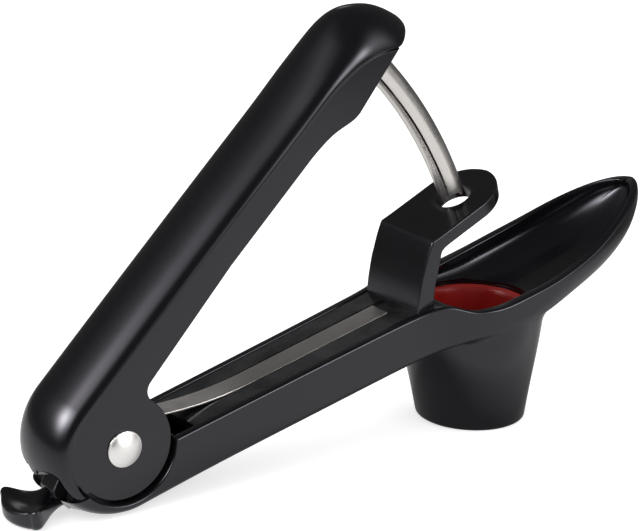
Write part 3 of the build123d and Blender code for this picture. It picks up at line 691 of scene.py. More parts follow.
def undersideSection(along, count=80):
    # Outer section of the moulding at each place: across and up from the middle of the bottom to the rim.
    w, rim, bottom, rise, inset = (value[..., None] for value in np.moveaxis(outsideAt(along), -1, 0))
    s = np.linspace(0, 1, count // 3)
    t = np.linspace(0, 1, count)[1:]
    across = np.concatenate([(w - inset) * s, w - inset * (1 - t) ** 2, w + 0 * s[1:]], axis=-1)
    corner = bottom + rise
    up = np.concatenate([bottom + 0 * s, bottom + rise * t**2, corner + (rim - corner) * s[1:]], axis=-1)
    return across, up


def cupGrid():
    # Rings of the cup's wall, a fillet that turns into the bowl's underside, and the bore inside.
    cupAt = smoothTable(cup["outside"])
    angle = fullTurn(cup["columns"])
    heights = np.linspace(8, 36, 700)[:, None]
    growth, lean = np.moveaxis(cupAt(heights[:, 0]), -1, 0)[..., None]
    wall = levelRing(cup["centre"] + lean, cup["footRadius"] + growth, heights, angle)
    along, up = handleCoordinates(wall[..., 0], wall[..., 2])
    w, rim, bottom, rise, inset = np.moveaxis(outsideAt(along), -1, 0)
    fromSide = w - np.abs(wall[..., 1])
    corner = np.clip(1 - np.sqrt(np.clip(fromSide / np.maximum(inset, 0.01), 0, 1)), 0, 1)
    inside = (fromSide > 0) & (up > bottom + rise * corner**2)
    column = np.arange(len(angle))
    meetPoint = wall[np.argmax(inside, axis=0), column]
    front, side, back = cup["fillet"]
    forward = np.cos(angle)
    toFront = (front - side) * np.clip(forward, 0, 1) ** 1.6
    length = side + np.where(forward > 0, toFront, (back - side) * np.clip(-forward, 0, 1))
    # Outward from the meeting curve, square to it and along the underside.
    step = np.roll(meetPoint, -1, axis=0) - np.roll(meetPoint, 1, axis=0)
    step /= np.linalg.norm(step, axis=1, keepdims=True)
    outward = np.stack([np.cos(angle), np.sin(angle), 0 * angle], axis=-1)
    target = meetPoint
    for _ in range(10):
        goal = target + outward * (length / 10)[:, None]
        placeAlong, placeUp = handleCoordinates(goal[:, 0], goal[:, 2])
        sectionAcross, sectionUp = undersideSection(placeAlong)
        gap = (sectionAcross - np.abs(goal[:, 1:2])) ** 2 + (sectionUp - placeUp[:, None]) ** 2
        best = np.argmin(gap, axis=1)
        onAcross = sectionAcross[column, best] * np.sign(goal[:, 1] + 1e-9)
        moved = placed(handleTilt, placeAlong, onAcross, sectionUp[column, best]) / mm
        outward = moved - target
        outward -= (outward * step).sum(1, keepdims=True) * step
        outward /= np.maximum(np.linalg.norm(outward, axis=1, keepdims=True), 1e-9)
        target = moved
    # Rings from the foot up to the start of the fillet.
    edge = cup["footEdge"]
    turn = turns(-90, 0, 5)[:, None]
    share = np.linspace(0, 1, 26)[1:, None]
    wallHeights = edge + (meetPoint[:, 2] - length - edge) * share
    ringHeights = np.vstack([edge + edge * np.sin(turn) + 0 * angle, wallHeights])
    ringInset = np.vstack([edge * (1 - np.cos(turn)) + 0 * angle, 0 * wallHeights])
    growth, lean = np.moveaxis(cupAt(ringHeights), -1, 0)
    rings = levelRing(cup["centre"] + lean, cup["footRadius"] + growth - ringInset, ringHeights, angle)
    t = np.linspace(0, 1, 16)[1:, None, None]
    fillet = (1 - t) ** 2 * rings[-1] + 2 * t * (1 - t) * meetPoint + t**2 * target
    # Down into the wall of the bowl, then inside the bore to the foot again.
    under, inward = cup["hiddenTop"]
    topHeight = cup["linerTop"] - under
    hidden = target + (np.array([cup["bore"], 0, topHeight]) - target) * inward
    shelfLow, shelfHigh, shelfRadius = cup["shelf"]
    chamfer = cup["chamfer"]
    inner = [
        levelRing(cup["bore"], radius, height, angle)
        for height, radius in (
            (topHeight, boreRadius(topHeight)),
            (shelfHigh, boreRadius(shelfHigh)),
            (shelfHigh, shelfRadius),
            (shelfLow, shelfRadius),
            (shelfLow, boreRadius(shelfLow)),
            (chamfer, boreRadius(chamfer)),
            (0.0, boreRadius(0.0) + chamfer),
        )
    ]
    return np.concatenate([rings, fillet, hidden[None], np.array(inner)]) * mm


def boreGrid():
    turn = fullTurn(96)
    top = cup["linerTop"]
    below, above, play = cup["boreTool"]
    rings = ((-below, boreRadius(-below)), (top, cup["linerRadius"]), (top + above, cup["linerRadius"]))
    return np.stack([levelRing(cup["bore"], radius + play, height, turn) for height, radius in rings]) * mm


cupTube = makeObject("cupTube", gridShell(cupGrid(), ringed=True))
cutWith(lowerHandle, makeObject("boreTool", gridShell(boreGrid())))
print("stage: bowl and cup shaped")

lug = {
    "inner": 3.4,
    "outer": 6.1,
    # along, up: the front edge
    "front": ((7.4, -4.0), (7.0, -13.2)),
    # radius, start and end in degrees, about the pivot
    "tail": (14.2, 270, 230),
    "top": (8.4, 200, -28.4),
    "latchRadius": 2.0,
    "slope": (1.6, 1.0),
}


def lugOutline():
    back = math.degrees(math.atan2(*lug["slope"]))
    parts = [
        lug["front"],
        arc((0, 0), *lug["tail"], 10),
        arc(latchPin, lug["latchRadius"], 180 + back, back, 10),
        arc((0, 0), *lug["top"], 60),
    ]
    return np.vstack(parts)


lugShells = [sidePrism(handleTilt, lugOutline(), side * lug["inner"], side * lug["outer"]) for side in (-1, 1)]
lugs = makeObject("pivotLugs", *lugShells)
finishPiece(merged("lowerHandleMoulding", lowerHandle, cupTube, lugs), "base", ["lower_handle"])

# Upper handle: a crown carried round the tail, along the lever and over the nose, on two flat cheeks

lever = {
    "halfWidth": 8.75,
    "inner": 6.4,
    "earRadius": 11.7,
    "crownHalf": 9.75,
    "crownLine": 13.6,
    "lip": 0.35,
    # where the near and the far cheek end at the tail
    "tailEnd": (-5.9, -3.2),
    # height of the cheek's lower edge by the ear, and the rounding of the corner there
    "corner": (5.0, 3.0),
    "straightTo": 88.0,
    "noseTip": 112.55,
    # along, half width, base, top, top of the cavity
    "nose": (
        (40.0, 9.75, 13.6, 18.3, 14.9),
        (66.0, 9.75, 13.6, 18.35, 14.9),
        (80.0, 9.75, 13.6, 18.45, 14.9),
        (88.0, 9.75, 13.5, 18.8, 14.9),
        (94.0, 9.75, 12.5, 19.25, 14.7),
        (99.0, 9.7, 10.9, 19.5, 14.0),
        (102.4, 9.2, 8.9, 19.15, 12.8),
        (105.2, 8.5, 6.5, 17.9, 10.7),
        (107.9, 7.0, 5.3, 15.5, 7.0),
        (110.0, 5.1, 4.85, 12.7, 5.3),
        (111.5, 3.2, 4.7, 9.3, 4.8),
        (112.25, 1.5, 4.7, 6.8, 4.7),
        (112.55, 0.0, 4.8, 5.5, 4.7),
    ),
    # how far the crown's top is under its height at the middle of the lever: at the tail's end, at its top
    "tailDrop": (0.75, 0.4),
    # across, up: where the crown ends at the tail, two arches with a short tongue between them
    "tailLine": (
        (0.0, -0.9), (1.1, -0.65), (2.2, 0.43), (3.2, 1.15), (5.2, 1.45), (7.0, 1.15), (8.0, 0.3),
        (8.55, -1.9), (8.95, -4.0), (9.3, -5.3), (9.75, -5.9),
    ),
    # along, up: side view of the cheek from the nose to the ear, its middle part curved
    "cheekNose": (88.0, 104.6),
    "noseFoot": ((105.4, 5.75), (97.1, 4.7)),
    "lowerCurve": ((88.6, 3.62), (87.2, 3.72), (85.6, 4.15), (82.0, 5.5), (78.0, 6.3), (74.0, 6.6)),
    "lowerLine": ((60.0, 6.6), (44.6, 6.6)),
    "discRadius": 6.0,
    "ribHalf": 3.0,
    "headHalf": 4.6,
    # along, up: inside the shell, the head that holds the plunger, the web and the finger on the disc
    "head": ((95.4, 4.6), (106.8, 4.6), (106.8, 8.6), (104.8, 11.4), (98.0, 15.5), (95.4, 15.5)),
    "web": ((-4.5, 0.0), (4.5, 0.0), (4.5, 15.4), (-4.5, 15.4)),
    "finger": ((3.0, 5.1), (8.4, 4.4), (8.2, 1.7), (4.5, 0.5)),
    "fingerTip": ((8.7, 3.0), 1.4),
}

noseEnds = (lever["straightTo"], lever["noseTip"], lever["noseTip"] - lever["straightTo"])
noseAt = stationTable(lever["nose"], *noseEnds)


def crownGrid():
    # Half an ellipse over a small lip and fillet, hollow below: turned about the pivot at the tail.
    tailTurns = np.linspace(1, 0, 46)[:-1]
    start, _, reach = noseEnds
    place = np.concatenate([np.linspace(0, start, 45), np.linspace(start, start + reach * np.pi / 2, 60)[1:]])
    rows = len(tailTurns)
    section = noseAt(np.maximum(place, 40.0)).T[:, :, None]
    w, base, top, cavity = (np.vstack([np.repeat(v[:1], rows, axis=0), v]) for v in section)
    place = np.concatenate([0 * tailTurns, place])[:, None]
    tailShare = np.concatenate([tailTurns, np.zeros(len(place) - rows)])[:, None]
    endDrop, topDrop = lever["tailDrop"]
    toTail = np.clip(1 - place / 45.0, 0, 1) ** 2
    top = top - topDrop * toTail - (endDrop - topDrop) * tailShare
    lip = np.minimum(lever["lip"], w * 0.2)
    cheek = np.minimum(lever["halfWidth"], w - lip - 0.02)
    fillet = np.clip(w - lip - cheek, 0.02, None)
    inner = np.minimum(lever["inner"] + 0.05, cheek * 0.75)
    foot = base - lip - fillet
    cavity = np.maximum(cavity, foot)
    legEnd = foot - 0.4
    corner = np.minimum(1.0, np.maximum(cavity - legEnd, 0.0) * 0.45)
    overTop, round1, round2, round3 = (
        turns(first, last, count)[None, skipped:]
        for first, last, count, skipped in ((90, 0, 49, 0), (0, -90, 6, 1), (90, 180, 6, 1), (0, 90, 7, 0))
    )
    runs = [
        (w * np.cos(overTop), base + (top - base) * np.sin(overTop)),
        (w - lip + lip * np.cos(round1), base + lip * np.sin(round1)),
        (w - lip + fillet * np.cos(round2), foot + fillet * np.sin(round2)),
        (cheek - 0.03, legEnd),
        (inner, legEnd),
        (inner, legEnd + (cavity - corner - legEnd) * 0.5),
        (inner - corner + corner * np.cos(round3), cavity - corner + corner * np.sin(round3)),
        ((inner - corner) * np.array([[0.66, 0.33, 0.0]]), cavity),
    ]
    runs = [np.broadcast_arrays(*run, w) for run in runs]
    across, up = (np.hstack([run[i] for run in runs]) for i in (0, 1))
    # Tail: each column ends where the tail line puts it.
    tailAcross, tailUp = np.array(lever["tailLine"]).T
    opening = math.radians(leverTilt - handleTilt)
    straight = alongAt(place, *noseEnds)
    radius = np.maximum(up, 1.0)
    halves = []
    for side, lowest in zip((-1, 1), lever["tailEnd"]):
        end = np.maximum(np.interp(np.abs(across), tailAcross, tailUp), lowest)
        endTurn = np.pi - np.arcsin(np.clip(end / radius, -1, 1)) - opening
        turned = np.pi / 2 + tailShare * (endTurn - np.pi / 2)
        along = np.where(tailShare > 0, radius * np.cos(turned), straight)
        height = np.where(tailShare > 0, radius * np.sin(turned), up)
        halves.append(placed(leverTilt, along, side * across, height))
    return np.concatenate([halves[0], halves[1][:, -2:0:-1]], axis=1)


def cheekOutline(tailEnd):
    # Side view of a flat cheek: rounded corner, ear's disc, crown's fillet, nose, head and lower edge.
    drop = lever["crownHalf"] - lever["halfWidth"]
    crease = lever["crownLine"] - drop
    ear = lever["earRadius"]
    earEnd, creaseEnd = (
        180 + math.degrees(math.asin(-tailEnd / radius)) - leverTilt + handleTilt for radius in (ear, crease)
    )
    lower, cornerRound = lever["corner"]
    cornerX = math.sqrt((ear + cornerRound) ** 2 - (lower - cornerRound) ** 2)
    cornerTurn = math.degrees(math.atan2(lower - cornerRound, cornerX))
    noseAlong = np.linspace(*lever["cheekNose"], 16)
    noseBase = noseAt(tipPlace(noseAlong, *noseEnds))[:, 1] - drop
    parts = [
        arc((cornerX, lower - cornerRound), cornerRound, 90, 180 + cornerTurn, 9),
        arc((0, 0), ear, cornerTurn, earEnd - 360, 80)[1:],
        arc((0, 0), crease, creaseEnd, 90, 30),
        np.column_stack([noseAlong, noseBase]),
        lever["noseFoot"],
        smoothLine(lever["lowerCurve"], 22),
        lever["lowerLine"],
    ]
    return np.vstack(parts)


crown = makeObject("crown", gridShell(crownGrid(), caps=(True, False)))
cheekShells = [
    sidePrism(leverTilt, cheekOutline(end), side * lever["inner"], side * lever["halfWidth"])
    for side, end in zip((-1, 1), lever["tailEnd"])
]
cheeks = makeObject("cheeks", *cheekShells)
beveled(cheeks, 0.5, 4)
rib, head = lever["ribHalf"], lever["headHalf"]
ribs = makeObject(
    "ribs",
    disc(leverTilt, (0, 0), lever["discRadius"], 48, rib),
    sidePrism(leverTilt, lever["web"], -rib, rib),
    sidePrism(handleTilt, lever["finger"], -rib, rib),
    disc(handleTilt, *lever["fingerTip"], 24, rib),
    sidePrism(leverTilt, lever["head"], -head, head),
)
beveled(ribs, 0.3, 2)
finishPiece(merged("upperHandleMoulding", crown, cheeks, ribs), "lever", ["upper_handle"])

# Guide insert: a tray with a slot, and a bent bracket with a round end

insert = {
    "trayStart": 17.8,
    "trayEnd": 84.5,
    "top": -3.3,
    "bottom": -5.6,
    "gap": 0.12,
    "slotHalf": 3.3,
    "slotEnd": 78.2,
    "slotFloor": -3.95,
    "half": 9.9,
    "endCentre": 101.35,
    "edge": 0.45,
    "hole": (100.5, 4.25),
    "plateRise": 0.2,
    "plateThickness": 3.1,
    # rear and top face from the foot, over the bend, to the plate: along, up
    "outer": (
        (78.1, -4.4), (78.85, -2.2), (79.65, 0.1), (80.55, 2.3), (81.6, 4.7), (82.9, 7.0), (84.2, 9.35),
        (85.4, 11.15), (85.95, 11.9), (86.2, 12.08), (86.5, 12.2), (86.95, 12.25), (88.3, 12.48), (89.8, 12.77),
    ),
    # front and lower face opposite each of those points
    "inner": (
        (83.2, -4.4), (83.7, -2.2), (84.4, 0.1), (85.1, 1.9), (86.0, 3.7), (86.9, 5.5), (87.5, 6.9),
        (88.0, 8.1), (88.35, 8.65), (88.7, 8.85), (89.1, 9.12), (89.6, 9.3), (90.3, 9.48), (91.2, 9.66),
    ),
}


def bracketGrid():
    # Sections with rounded corners between the outer and the inner face, narrowing to a half round.
    outer, inner = np.array(insert["outer"]), np.array(insert["inner"])
    rise, centre, wide = insert["plateRise"], insert["endCentre"], insert["half"]
    turn = np.linspace(0, np.pi / 2, 26)[1:]
    along = np.concatenate([np.linspace(92.0, centre, 8), centre + wide * np.sin(turn)])
    half = np.concatenate([np.full(len(outer) + 8, wide), wide * np.cos(turn)])
    half = np.maximum(half, 0.02)[:, None]
    topLine = outer[-1, 1] + rise * (along - outer[-1, 0])
    lowerLine = inner[-1, 1] + rise * (along - inner[-1, 0])
    lowerLine = np.minimum(lowerLine, topLine - insert["plateThickness"] * 0.98)
    outer = np.vstack([outer, np.column_stack([along, topLine])])
    inner = np.vstack([inner, np.column_stack([along, lowerLine])])
    through = inner - outer
    thickness = np.linalg.norm(through, axis=1, keepdims=True)
    through /= thickness
    edge = np.minimum(insert["edge"], half * 0.5)
    round1 = turns(90, 0, 5)[None, :]
    # One quarter of the section: across from the middle to the corner, then half of the side.
    across = np.concatenate([0 * half, half * 0.5, half - edge * (1 - np.cos(round1)), half], axis=1)
    down = np.concatenate([0 * half, 0 * half, edge * (1 - np.sin(round1)), thickness / 2], axis=1)
    across = np.concatenate([across, across[:, -2::-1]], axis=1)
    down = np.concatenate([down, (thickness - down)[:, -2::-1]], axis=1)
    point = outer[:, None, :] + through[:, None, :] * down[:, :, None]
    return mirrored(handleTilt, point[..., 0], across, point[..., 1])


def trayGrid():
    slotEnd = insert["slotEnd"]
    slotAlong = np.linspace(insert["trayStart"], slotEnd - 0.01, 30)
    along = np.concatenate([slotAlong, [slotEnd + 0.01], np.linspace(79, insert["trayEnd"], 4)])[:, None]
    half = outsideAt(along[:, 0])[:, :1] - channel["wall"] - insert["gap"]
    zero = 0 * half
    floor = np.where(along < slotEnd, insert["slotFloor"], insert["top"] - 0.004)
    across = np.hstack([zero, half, half, zero + insert["slotHalf"], zero + insert["slotHalf"], zero])
    up = np.hstack([zero + insert["bottom"]] * 2 + [zero + insert["top"]] * 2 + [floor] * 2)
    return mirrored(handleTilt, along, across, up)


bracket = makeObject("bracket", gridShell(bracketGrid()))
holeAlong, holeRadius = insert["hole"]
holeUp = insert["outer"][-1][1] + insert["plateRise"] * (holeAlong - insert["outer"][-1][0])
plateTurn = math.radians(handleTilt) + math.atan(insert["plateRise"])
holeAxis = np.array([-math.sin(plateTurn), 0, math.cos(plateTurn)])
holeSide = np.array([math.cos(plateTurn), 0, math.sin(plateTurn)])
ringTurn = fullTurn(64)[:, None]
ring = holeRadius * (np.cos(ringTurn) * holeSide + np.sin(ringTurn) * np.array([0, 1.0, 0]))
ring = ring + placed(handleTilt, holeAlong, 0, holeUp) / mm
cutWith(bracket, makeObject("holeTool", gridShell(np.stack([ring - 7 * holeAxis, ring + 3 * holeAxis]) * mm)))
tray = makeObject("tray", gridShell(trayGrid()))
beveled(tray, 0.15, 2)
finishPiece(merged("guideInsertMoulding", bracket, tray), "base", ["guide_insert"], sharp=40.0)

# Lock latch: a thumb tab with a dished top, a neck, a boss on its pin and a hook

latch = {
    # along, half width in plan, bottom, top in the middle, top at the edge
    "tab": (
        (-12.0, 2.9, -9.5, -4.9, -8.2),
        (-14.4, 3.1, -9.6, -5.0, -8.0),
        (-16.3, 3.6, -9.6, -5.3, -7.4),
        (-17.8, 4.4, -9.6, -5.7, -6.7),
        (-19.2, 5.5, -9.5, -6.0, -6.0),
        (-20.6, 6.7, -9.45, -6.1, -5.1),
        (-21.8, 7.6, -9.4, -6.1, -4.5),
        (-22.8, 7.9, -9.4, -5.8, -4.4),
        (-23.8, 7.8, -9.3, -5.5, -4.5),
        (-26.4, 7.7, -8.6, -5.4, -4.6),
    ),
    "front": -23.6,
    "back": -12.0,
    "frontBow": 2.3,
    "cornerRound": 1.4,
    # how far the front leans out at its foot, and over what length
    "lean": (0.5, 4.0),
    # how far the line that the rings shrink to stays from the front and the back
    "spine": (3.2, 1.0),
    "edge": 0.75,
    "lowEdge": 1.3,
    # along, up: side view of the arm from its foot over the ramp to the hook
    "arm": (
        (-12.6, -9.2), (-15.9, -6.7), (-15.8, -5.2), (-15.1, -4.4), (-14.4, -3.6), (-13.7, -2.7),
        (-13.0, -1.9), (-12.3, -1.6), (-11.5, -2.8), (-10.7, -4.6), (-10.2, -6.4),
    ),
    "armHalf": 2.88,
    "boss": (2.3, 2.9),
}


def tabGrid():
    # Rings round the tab's plan outline, from the middle of its underside to the middle of its top.
    at = smoothTable(latch["tab"][::-1])
    front, back, corner = latch["front"], latch["back"], latch["cornerRound"]
    sideAlong = np.linspace(back, front + corner, 30)
    width = at(front + corner)[0]
    turn = turns(0, 90, 10)[1:]
    frontShare = np.linspace(1, 0, 12)[1:]
    frontAlong = front - latch["frontBow"] * (1 - frontShare**2)
    along = np.concatenate([sideAlong, front + corner - corner * np.sin(turn), frontAlong])
    cornerHalf = width - corner + corner * np.cos(turn)
    half = np.concatenate([at(sideAlong)[:, 0], cornerHalf, frontShare * (width - corner)])
    along = np.concatenate([along, along[-2::-1]])
    across = np.concatenate([half, -half[-2::-1]])
    fromFront, fromBack = latch["spine"]
    spine = np.clip(along, front + fromFront, back - fromBack)
    inward = np.stack([spine - along, -across], axis=-1)
    length = np.linalg.norm(inward, axis=1)
    inward /= length[:, None]
    lowEdge = np.minimum(latch["lowEdge"], np.abs(at(along)[:, 0]) * 0.4)
    # Each ring: how far inside the outline, how far under the top or over the bottom, and which of the two.
    rings = []
    lean, leanLength = latch["lean"]
    shares = (0.0, 0.25, 0.5, 0.72, 0.88)
    for isTop, size in ((False, lowEdge), (True, latch["edge"] + 0 * lowEdge)):
        level = [(length * (1 - share) + size * share, 0 * size, isTop) for share in shares]
        level += [(size * (1 - np.sin(turn)), size * (1 - np.cos(turn)), isTop) for turn in turns(0, 90, 6)]
        rings += level[::-1] if isTop else level
    grid = []
    for inset, drop, isTop in rings:
        a = along + inward[:, 0] * inset
        y = across + inward[:, 1] * inset
        w, bottom, middle, border = at(a).T
        share = np.clip(np.abs(y) / w, 0, 1) ** 2
        top = middle * (1 - share) + border * share
        up = top - drop if isTop else bottom + drop
        height = np.clip((up - bottom) / (top - bottom), 0, 1)
        nearFront = np.clip((front + leanLength - a) / leanLength, 0, 1)
        grid.append(placed(handleTilt, a - lean * nearFront * (1 - height), y, up))
    return np.array(grid)


tab = makeObject("tab", gridShell(tabGrid()))
bossRadius, bossHalf = latch["boss"]
arm = makeObject(
    "arm",
    disc(handleTilt, latchPin, bossRadius, 32, bossHalf),
    sidePrism(handleTilt, latch["arm"], -latch["armHalf"], latch["armHalf"]),
)
beveled(arm, 0.3, 3)
finishPiece(merged("lockLatchMoulding", tab, arm), "latch", ["lock_latch"], sharp=50.0)

# Plunger: a rolled tube on an arc about the pivot, open along a seam, with pointed prongs

tube = {
    "arc": 101.4,
    "radius": 3.0,
    "wall": 0.5,
    # in degrees: the seam and half its gap round the tube, the tip and the top along the arc
    "seam": 225.0,
    "gap": 5.0,
    "tip": 8.7,
    "top": 37.4,
    "prongs": 4,
    "prongAt": 292.0,
    "scallop": 1.75,
    # in radians: how far the rounded rims stand past the tip and the top
    "rims": (0.0014, 0.001),
}


def tubePoint(turn, radius, around):
    outward = tube["arc"] + radius * np.cos(around)
    return placed(handleTilt, outward * np.cos(turn), radius * np.sin(around), outward * np.sin(turn))


def tubeGrid():
    # Across the wall and back (outer, rim, inner, rim) at each step round the tube; the seam closes it.
    gap = math.radians(tube["gap"])
    start = math.radians(tube["seam"]) + gap
    around = np.linspace(start, start + 2 * np.pi - 2 * gap, 144)[None, :]
    each = 2 * np.pi / tube["prongs"]
    offset = (around - math.radians(tube["prongAt"])) % each / each * 2 - 1
    depth = tube["scallop"] * np.sqrt(np.clip(1 - offset**2, 0, 1)) ** 0.9
    share = np.linspace(0, 1, 90)[:, None] ** 1.15
    low = math.radians(tube["tip"]) + depth / tube["arc"]
    turn = low * (1 - share) + math.radians(tube["top"]) * share
    outer = tubePoint(turn, tube["radius"], around)
    inner = tubePoint(turn, tube["radius"] - tube["wall"], around)
    middle = tube["radius"] - tube["wall"] / 2
    pastTip, pastTop = tube["rims"]
    rimLow, rimHigh = (tubePoint(end, middle, around) for end in (turn[:1] - pastTip, turn[-1:] + pastTop))
    # Columns run round the tube; the first and last are the edges of the seam.
    return np.concatenate([outer, rimHigh, inner[::-1], rimLow], axis=0).transpose(1, 0, 2)


def tubeMap(points):
    along, up = handleCoordinates(points[:, 0] / mm, points[:, 2] / mm)
    turn = np.arctan2(up, along)
    around = np.arctan2(points[:, 1] / mm, np.hypot(along, up) - tube["arc"])
    return np.column_stack([turn * tube["arc"] * mm, around * tube["radius"] * mm, 0 * turn])


tubePiece = makeObject("plungerTube", gridShell(tubeGrid()))
markLengthwise(tubePiece, tubeMap)
finishPiece(tubePiece, "lever", ["plunger"], sharp=40.0)

# Leaf spring: a flat strip that lifts off the slot and bends up under the lever

leaf = {
    "half": 2.9,
    "thickness": 0.6,
    "edge": 0.12,
    "play": 0.02,
    # along: where it starts in the slot and where it lifts off, then the bend's radius and degrees
    "front": 75.0,
    "lift": 38.0,
    "radius": 95.0,
    "turn": 17.9,
}


def leafGrid():
    flat = np.linspace(leaf["front"], leaf["lift"], 20)[:-1]
    turn = turns(0, leaf["turn"], 60)
    along = np.concatenate([flat, leaf["lift"] - leaf["radius"] * np.sin(turn)])[:, None]
    base = insert["slotFloor"] + leaf["play"]
    up = np.concatenate([0 * flat + base, base + leaf["radius"] * (1 - np.cos(turn))])[:, None]
    tilt = np.concatenate([0 * flat, turn])[:, None]
    edge, half, thick = leaf["edge"], leaf["half"], leaf["thickness"]
    across = np.array([0, half / 2, half - edge, half - edge * 0.3, half])
    across = np.concatenate([across, across[::-1]])
    height = np.array([thick, thick, thick, thick - edge * 0.3, thick - edge, edge, edge * 0.3, 0, 0, 0])
    return mirrored(handleTilt, along + np.sin(tilt) * height, across, up + np.cos(tilt) * height)


leafPiece = makeObject("leafSpringStrip", gridShell(leafGrid()))
markLengthwise(leafPiece, lambda points: points)
finishPiece(leafPiece, None, ["leaf_spring"], sharp=35.0)
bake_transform(leafPiece)

# Rivet: two domed heads on a barrel and a stud

rivet = {"radius": 4.15, "seat": 8.85, "rim": 0.4, "dome": 1.35, "shaft": 2.5, "edge": 0.28, "centre": 0.04}
pivotCentre = (pivotPlace[0], 0.0, pivotPlace[2])


def rivetProfile(side, inside):
    # From the shaft out under the head, round its rim and over the dome to the axis.
    radius, seat, rim, dome, shaft, edge, centre = rivet.values()
    turn = turns(0, 90, 7)
    rimLine = np.column_stack([radius - edge + edge * np.cos(turn), seat + rim - edge + edge * np.sin(turn)])
    cap = (radius - edge) ** 2 / (2 * (dome - rim)) + (dome - rim) / 2
    r = np.linspace(radius - edge - 0.15, centre, 26)
    domeLine = np.column_stack([r, seat + dome - cap + np.sqrt(cap**2 - r**2)])
    under = [(centre, inside), (shaft, inside), (shaft, seat), (radius, seat)]
    return np.vstack([under, rimLine, domeLine]) * [1, side]


def rivetMap(points):
    offset = points / mm - np.array(pivotCentre)
    radius = np.hypot(offset[:, 0], offset[:, 2])
    return np.column_stack([radius, np.arctan2(offset[:, 2], offset[:, 0]), 0 * radius]) * mm


for name, side, inside, node in (("barrelHead", -1, -1.0, "pivot_barrel"), ("studHead", 1, 1.2, "pivot_stud")):
    rivetHead = makeObject(name, spunShell(pivotCentre, rivetProfile(side, inside), 96, "y"))
    markLengthwise(rivetHead, rivetMap)
    finishPiece(rivetHead, "base", [node], sharp=40.0)

# Cup liner: a rolled lip, a tapering wall and a floor cut into flaps round the hole

liner = {
    "slit": 0.5,
    "slitReach": 7.8,
    "slitHeights": (14.5, 17.2),
    "slits": 6,
    # radius, height, from the hole up the inside and down the outside
    "profile": (
        (4.4, 15.06), (4.3, 15.5), (4.4, 15.95), (6.0, 16.15), (8.2, 16.7), (9.6, 17.7), (10.3, 19.3),
        (10.9, 21.8), (11.3, 24.6), (11.6, 26.2), (11.8, 27.0), (12.05, 27.55), (12.45, 27.93), (12.85, 28.05),
        (13.25, 28.0), (13.55, 27.8), (13.68, 27.45), (13.6, 26.8), (13.1, 22.6), (12.2, 15.3), (12.15, 15.06),
    ),
}
linerPiece = makeObject("linerWall", spunShell((cup["bore"], 0.0, 0.0), liner["profile"], 128, "z"))
for k in range(liner["slits"] // 2):
    turn = 2 * math.pi * k / liner["slits"] + math.pi / 6
    along = np.array([math.cos(turn), math.sin(turn)]) * liner["slitReach"]
    across = np.array([-math.sin(turn), math.cos(turn)]) * liner["slit"] / 2
    corners = np.array([-along - across, along - across, along + across, -along + across]) + [cup["bore"], 0]
    slitRings = [np.column_stack([corners, np.full(4, height)]) for height in liner["slitHeights"]]
    cutWith(linerPiece, makeObject("slitTool", gridShell(np.array(slitRings) * mm)))
finishPiece(linerPiece, "base", ["cup_liner"], sharp=40.0)
print("stage: small pieces made")

for name, node in frame["nodes"].items():
    node.data.materials.clear()
    node.data.materials.append(materials[slots[name]])

# Floor, backdrop, lights and camera

studio = {
    "floorSize": 6.0,
    "floorColours": ((0.788, 0.788, 0.788, 1.0), (0.8, 0.8, 0.8, 1.0)),
    "floorGlow": 0.6,
    # what gloss sees of the floor, painted: a glowing pool of light, dim from its edge on, times a painted shadow,
    # a dark ellipse under the tool
    "paintedLightPool": {
        "middle": (0.035, -0.16),
        "half": (0.38, 0.2),
        "turn": -70.0,
        "edge": (0.55, 1.15),
        "levels": (0.92, 0.14),
    },
    # the painted shadow: gloss sees the floor darker in an ellipse under the tool
    "under": {
        "middle": (0.025, 0.0),
        "half": (0.072, 0.027),
        "turn": 0.0,
        "edge": (0.6, 1.5),
        "levels": (0.26, 1.0),
    },
    "ambient": 0.9,
    "dimRoom": 0.083,
    # soft boxes as gloss sees them: azimuth, elevation, half width in degrees, brightness
    "softBoxes": (
        (175.3, 29.5, 9.0, 18.0),
        (154.4, 31.4, 13.8, 0.8),
        (198.0, 32.4, 9.6, 5.5),
        (291.0, 14.0, 7.0, 10.0),
        (311.3, 21.1, 11.5, 1.8),
        (62.0, 24.8, 3.5, 1.0),
    ),
    "lights": (
        # name, place, aim, size, energy
        ("tallBox", (-0.95, -0.15, 0.75), (-0.02, 0.0, 0.05), (0.6, 0.6), 2.4),
        ("frontBox", (0.35, -0.95, 0.6), (0.0, 0.0, 0.03), (0.6, 0.6), 1.6),
    ),
    "camera": {
        "place": (-0.3079, -0.4139, 0.2118),
        "right": (0.8152, -0.5785, 0.0299),
        "down": (-0.1570, -0.2704, -0.9499),
        "forward": (0.5576, 0.7696, -0.3113),
        "lens": 134.92,
    },
}


def direction(azimuth, elevation):
    a, e = math.radians(azimuth), math.radians(elevation)
    return (math.cos(e) * math.cos(a), math.cos(e) * math.sin(a), math.sin(e))


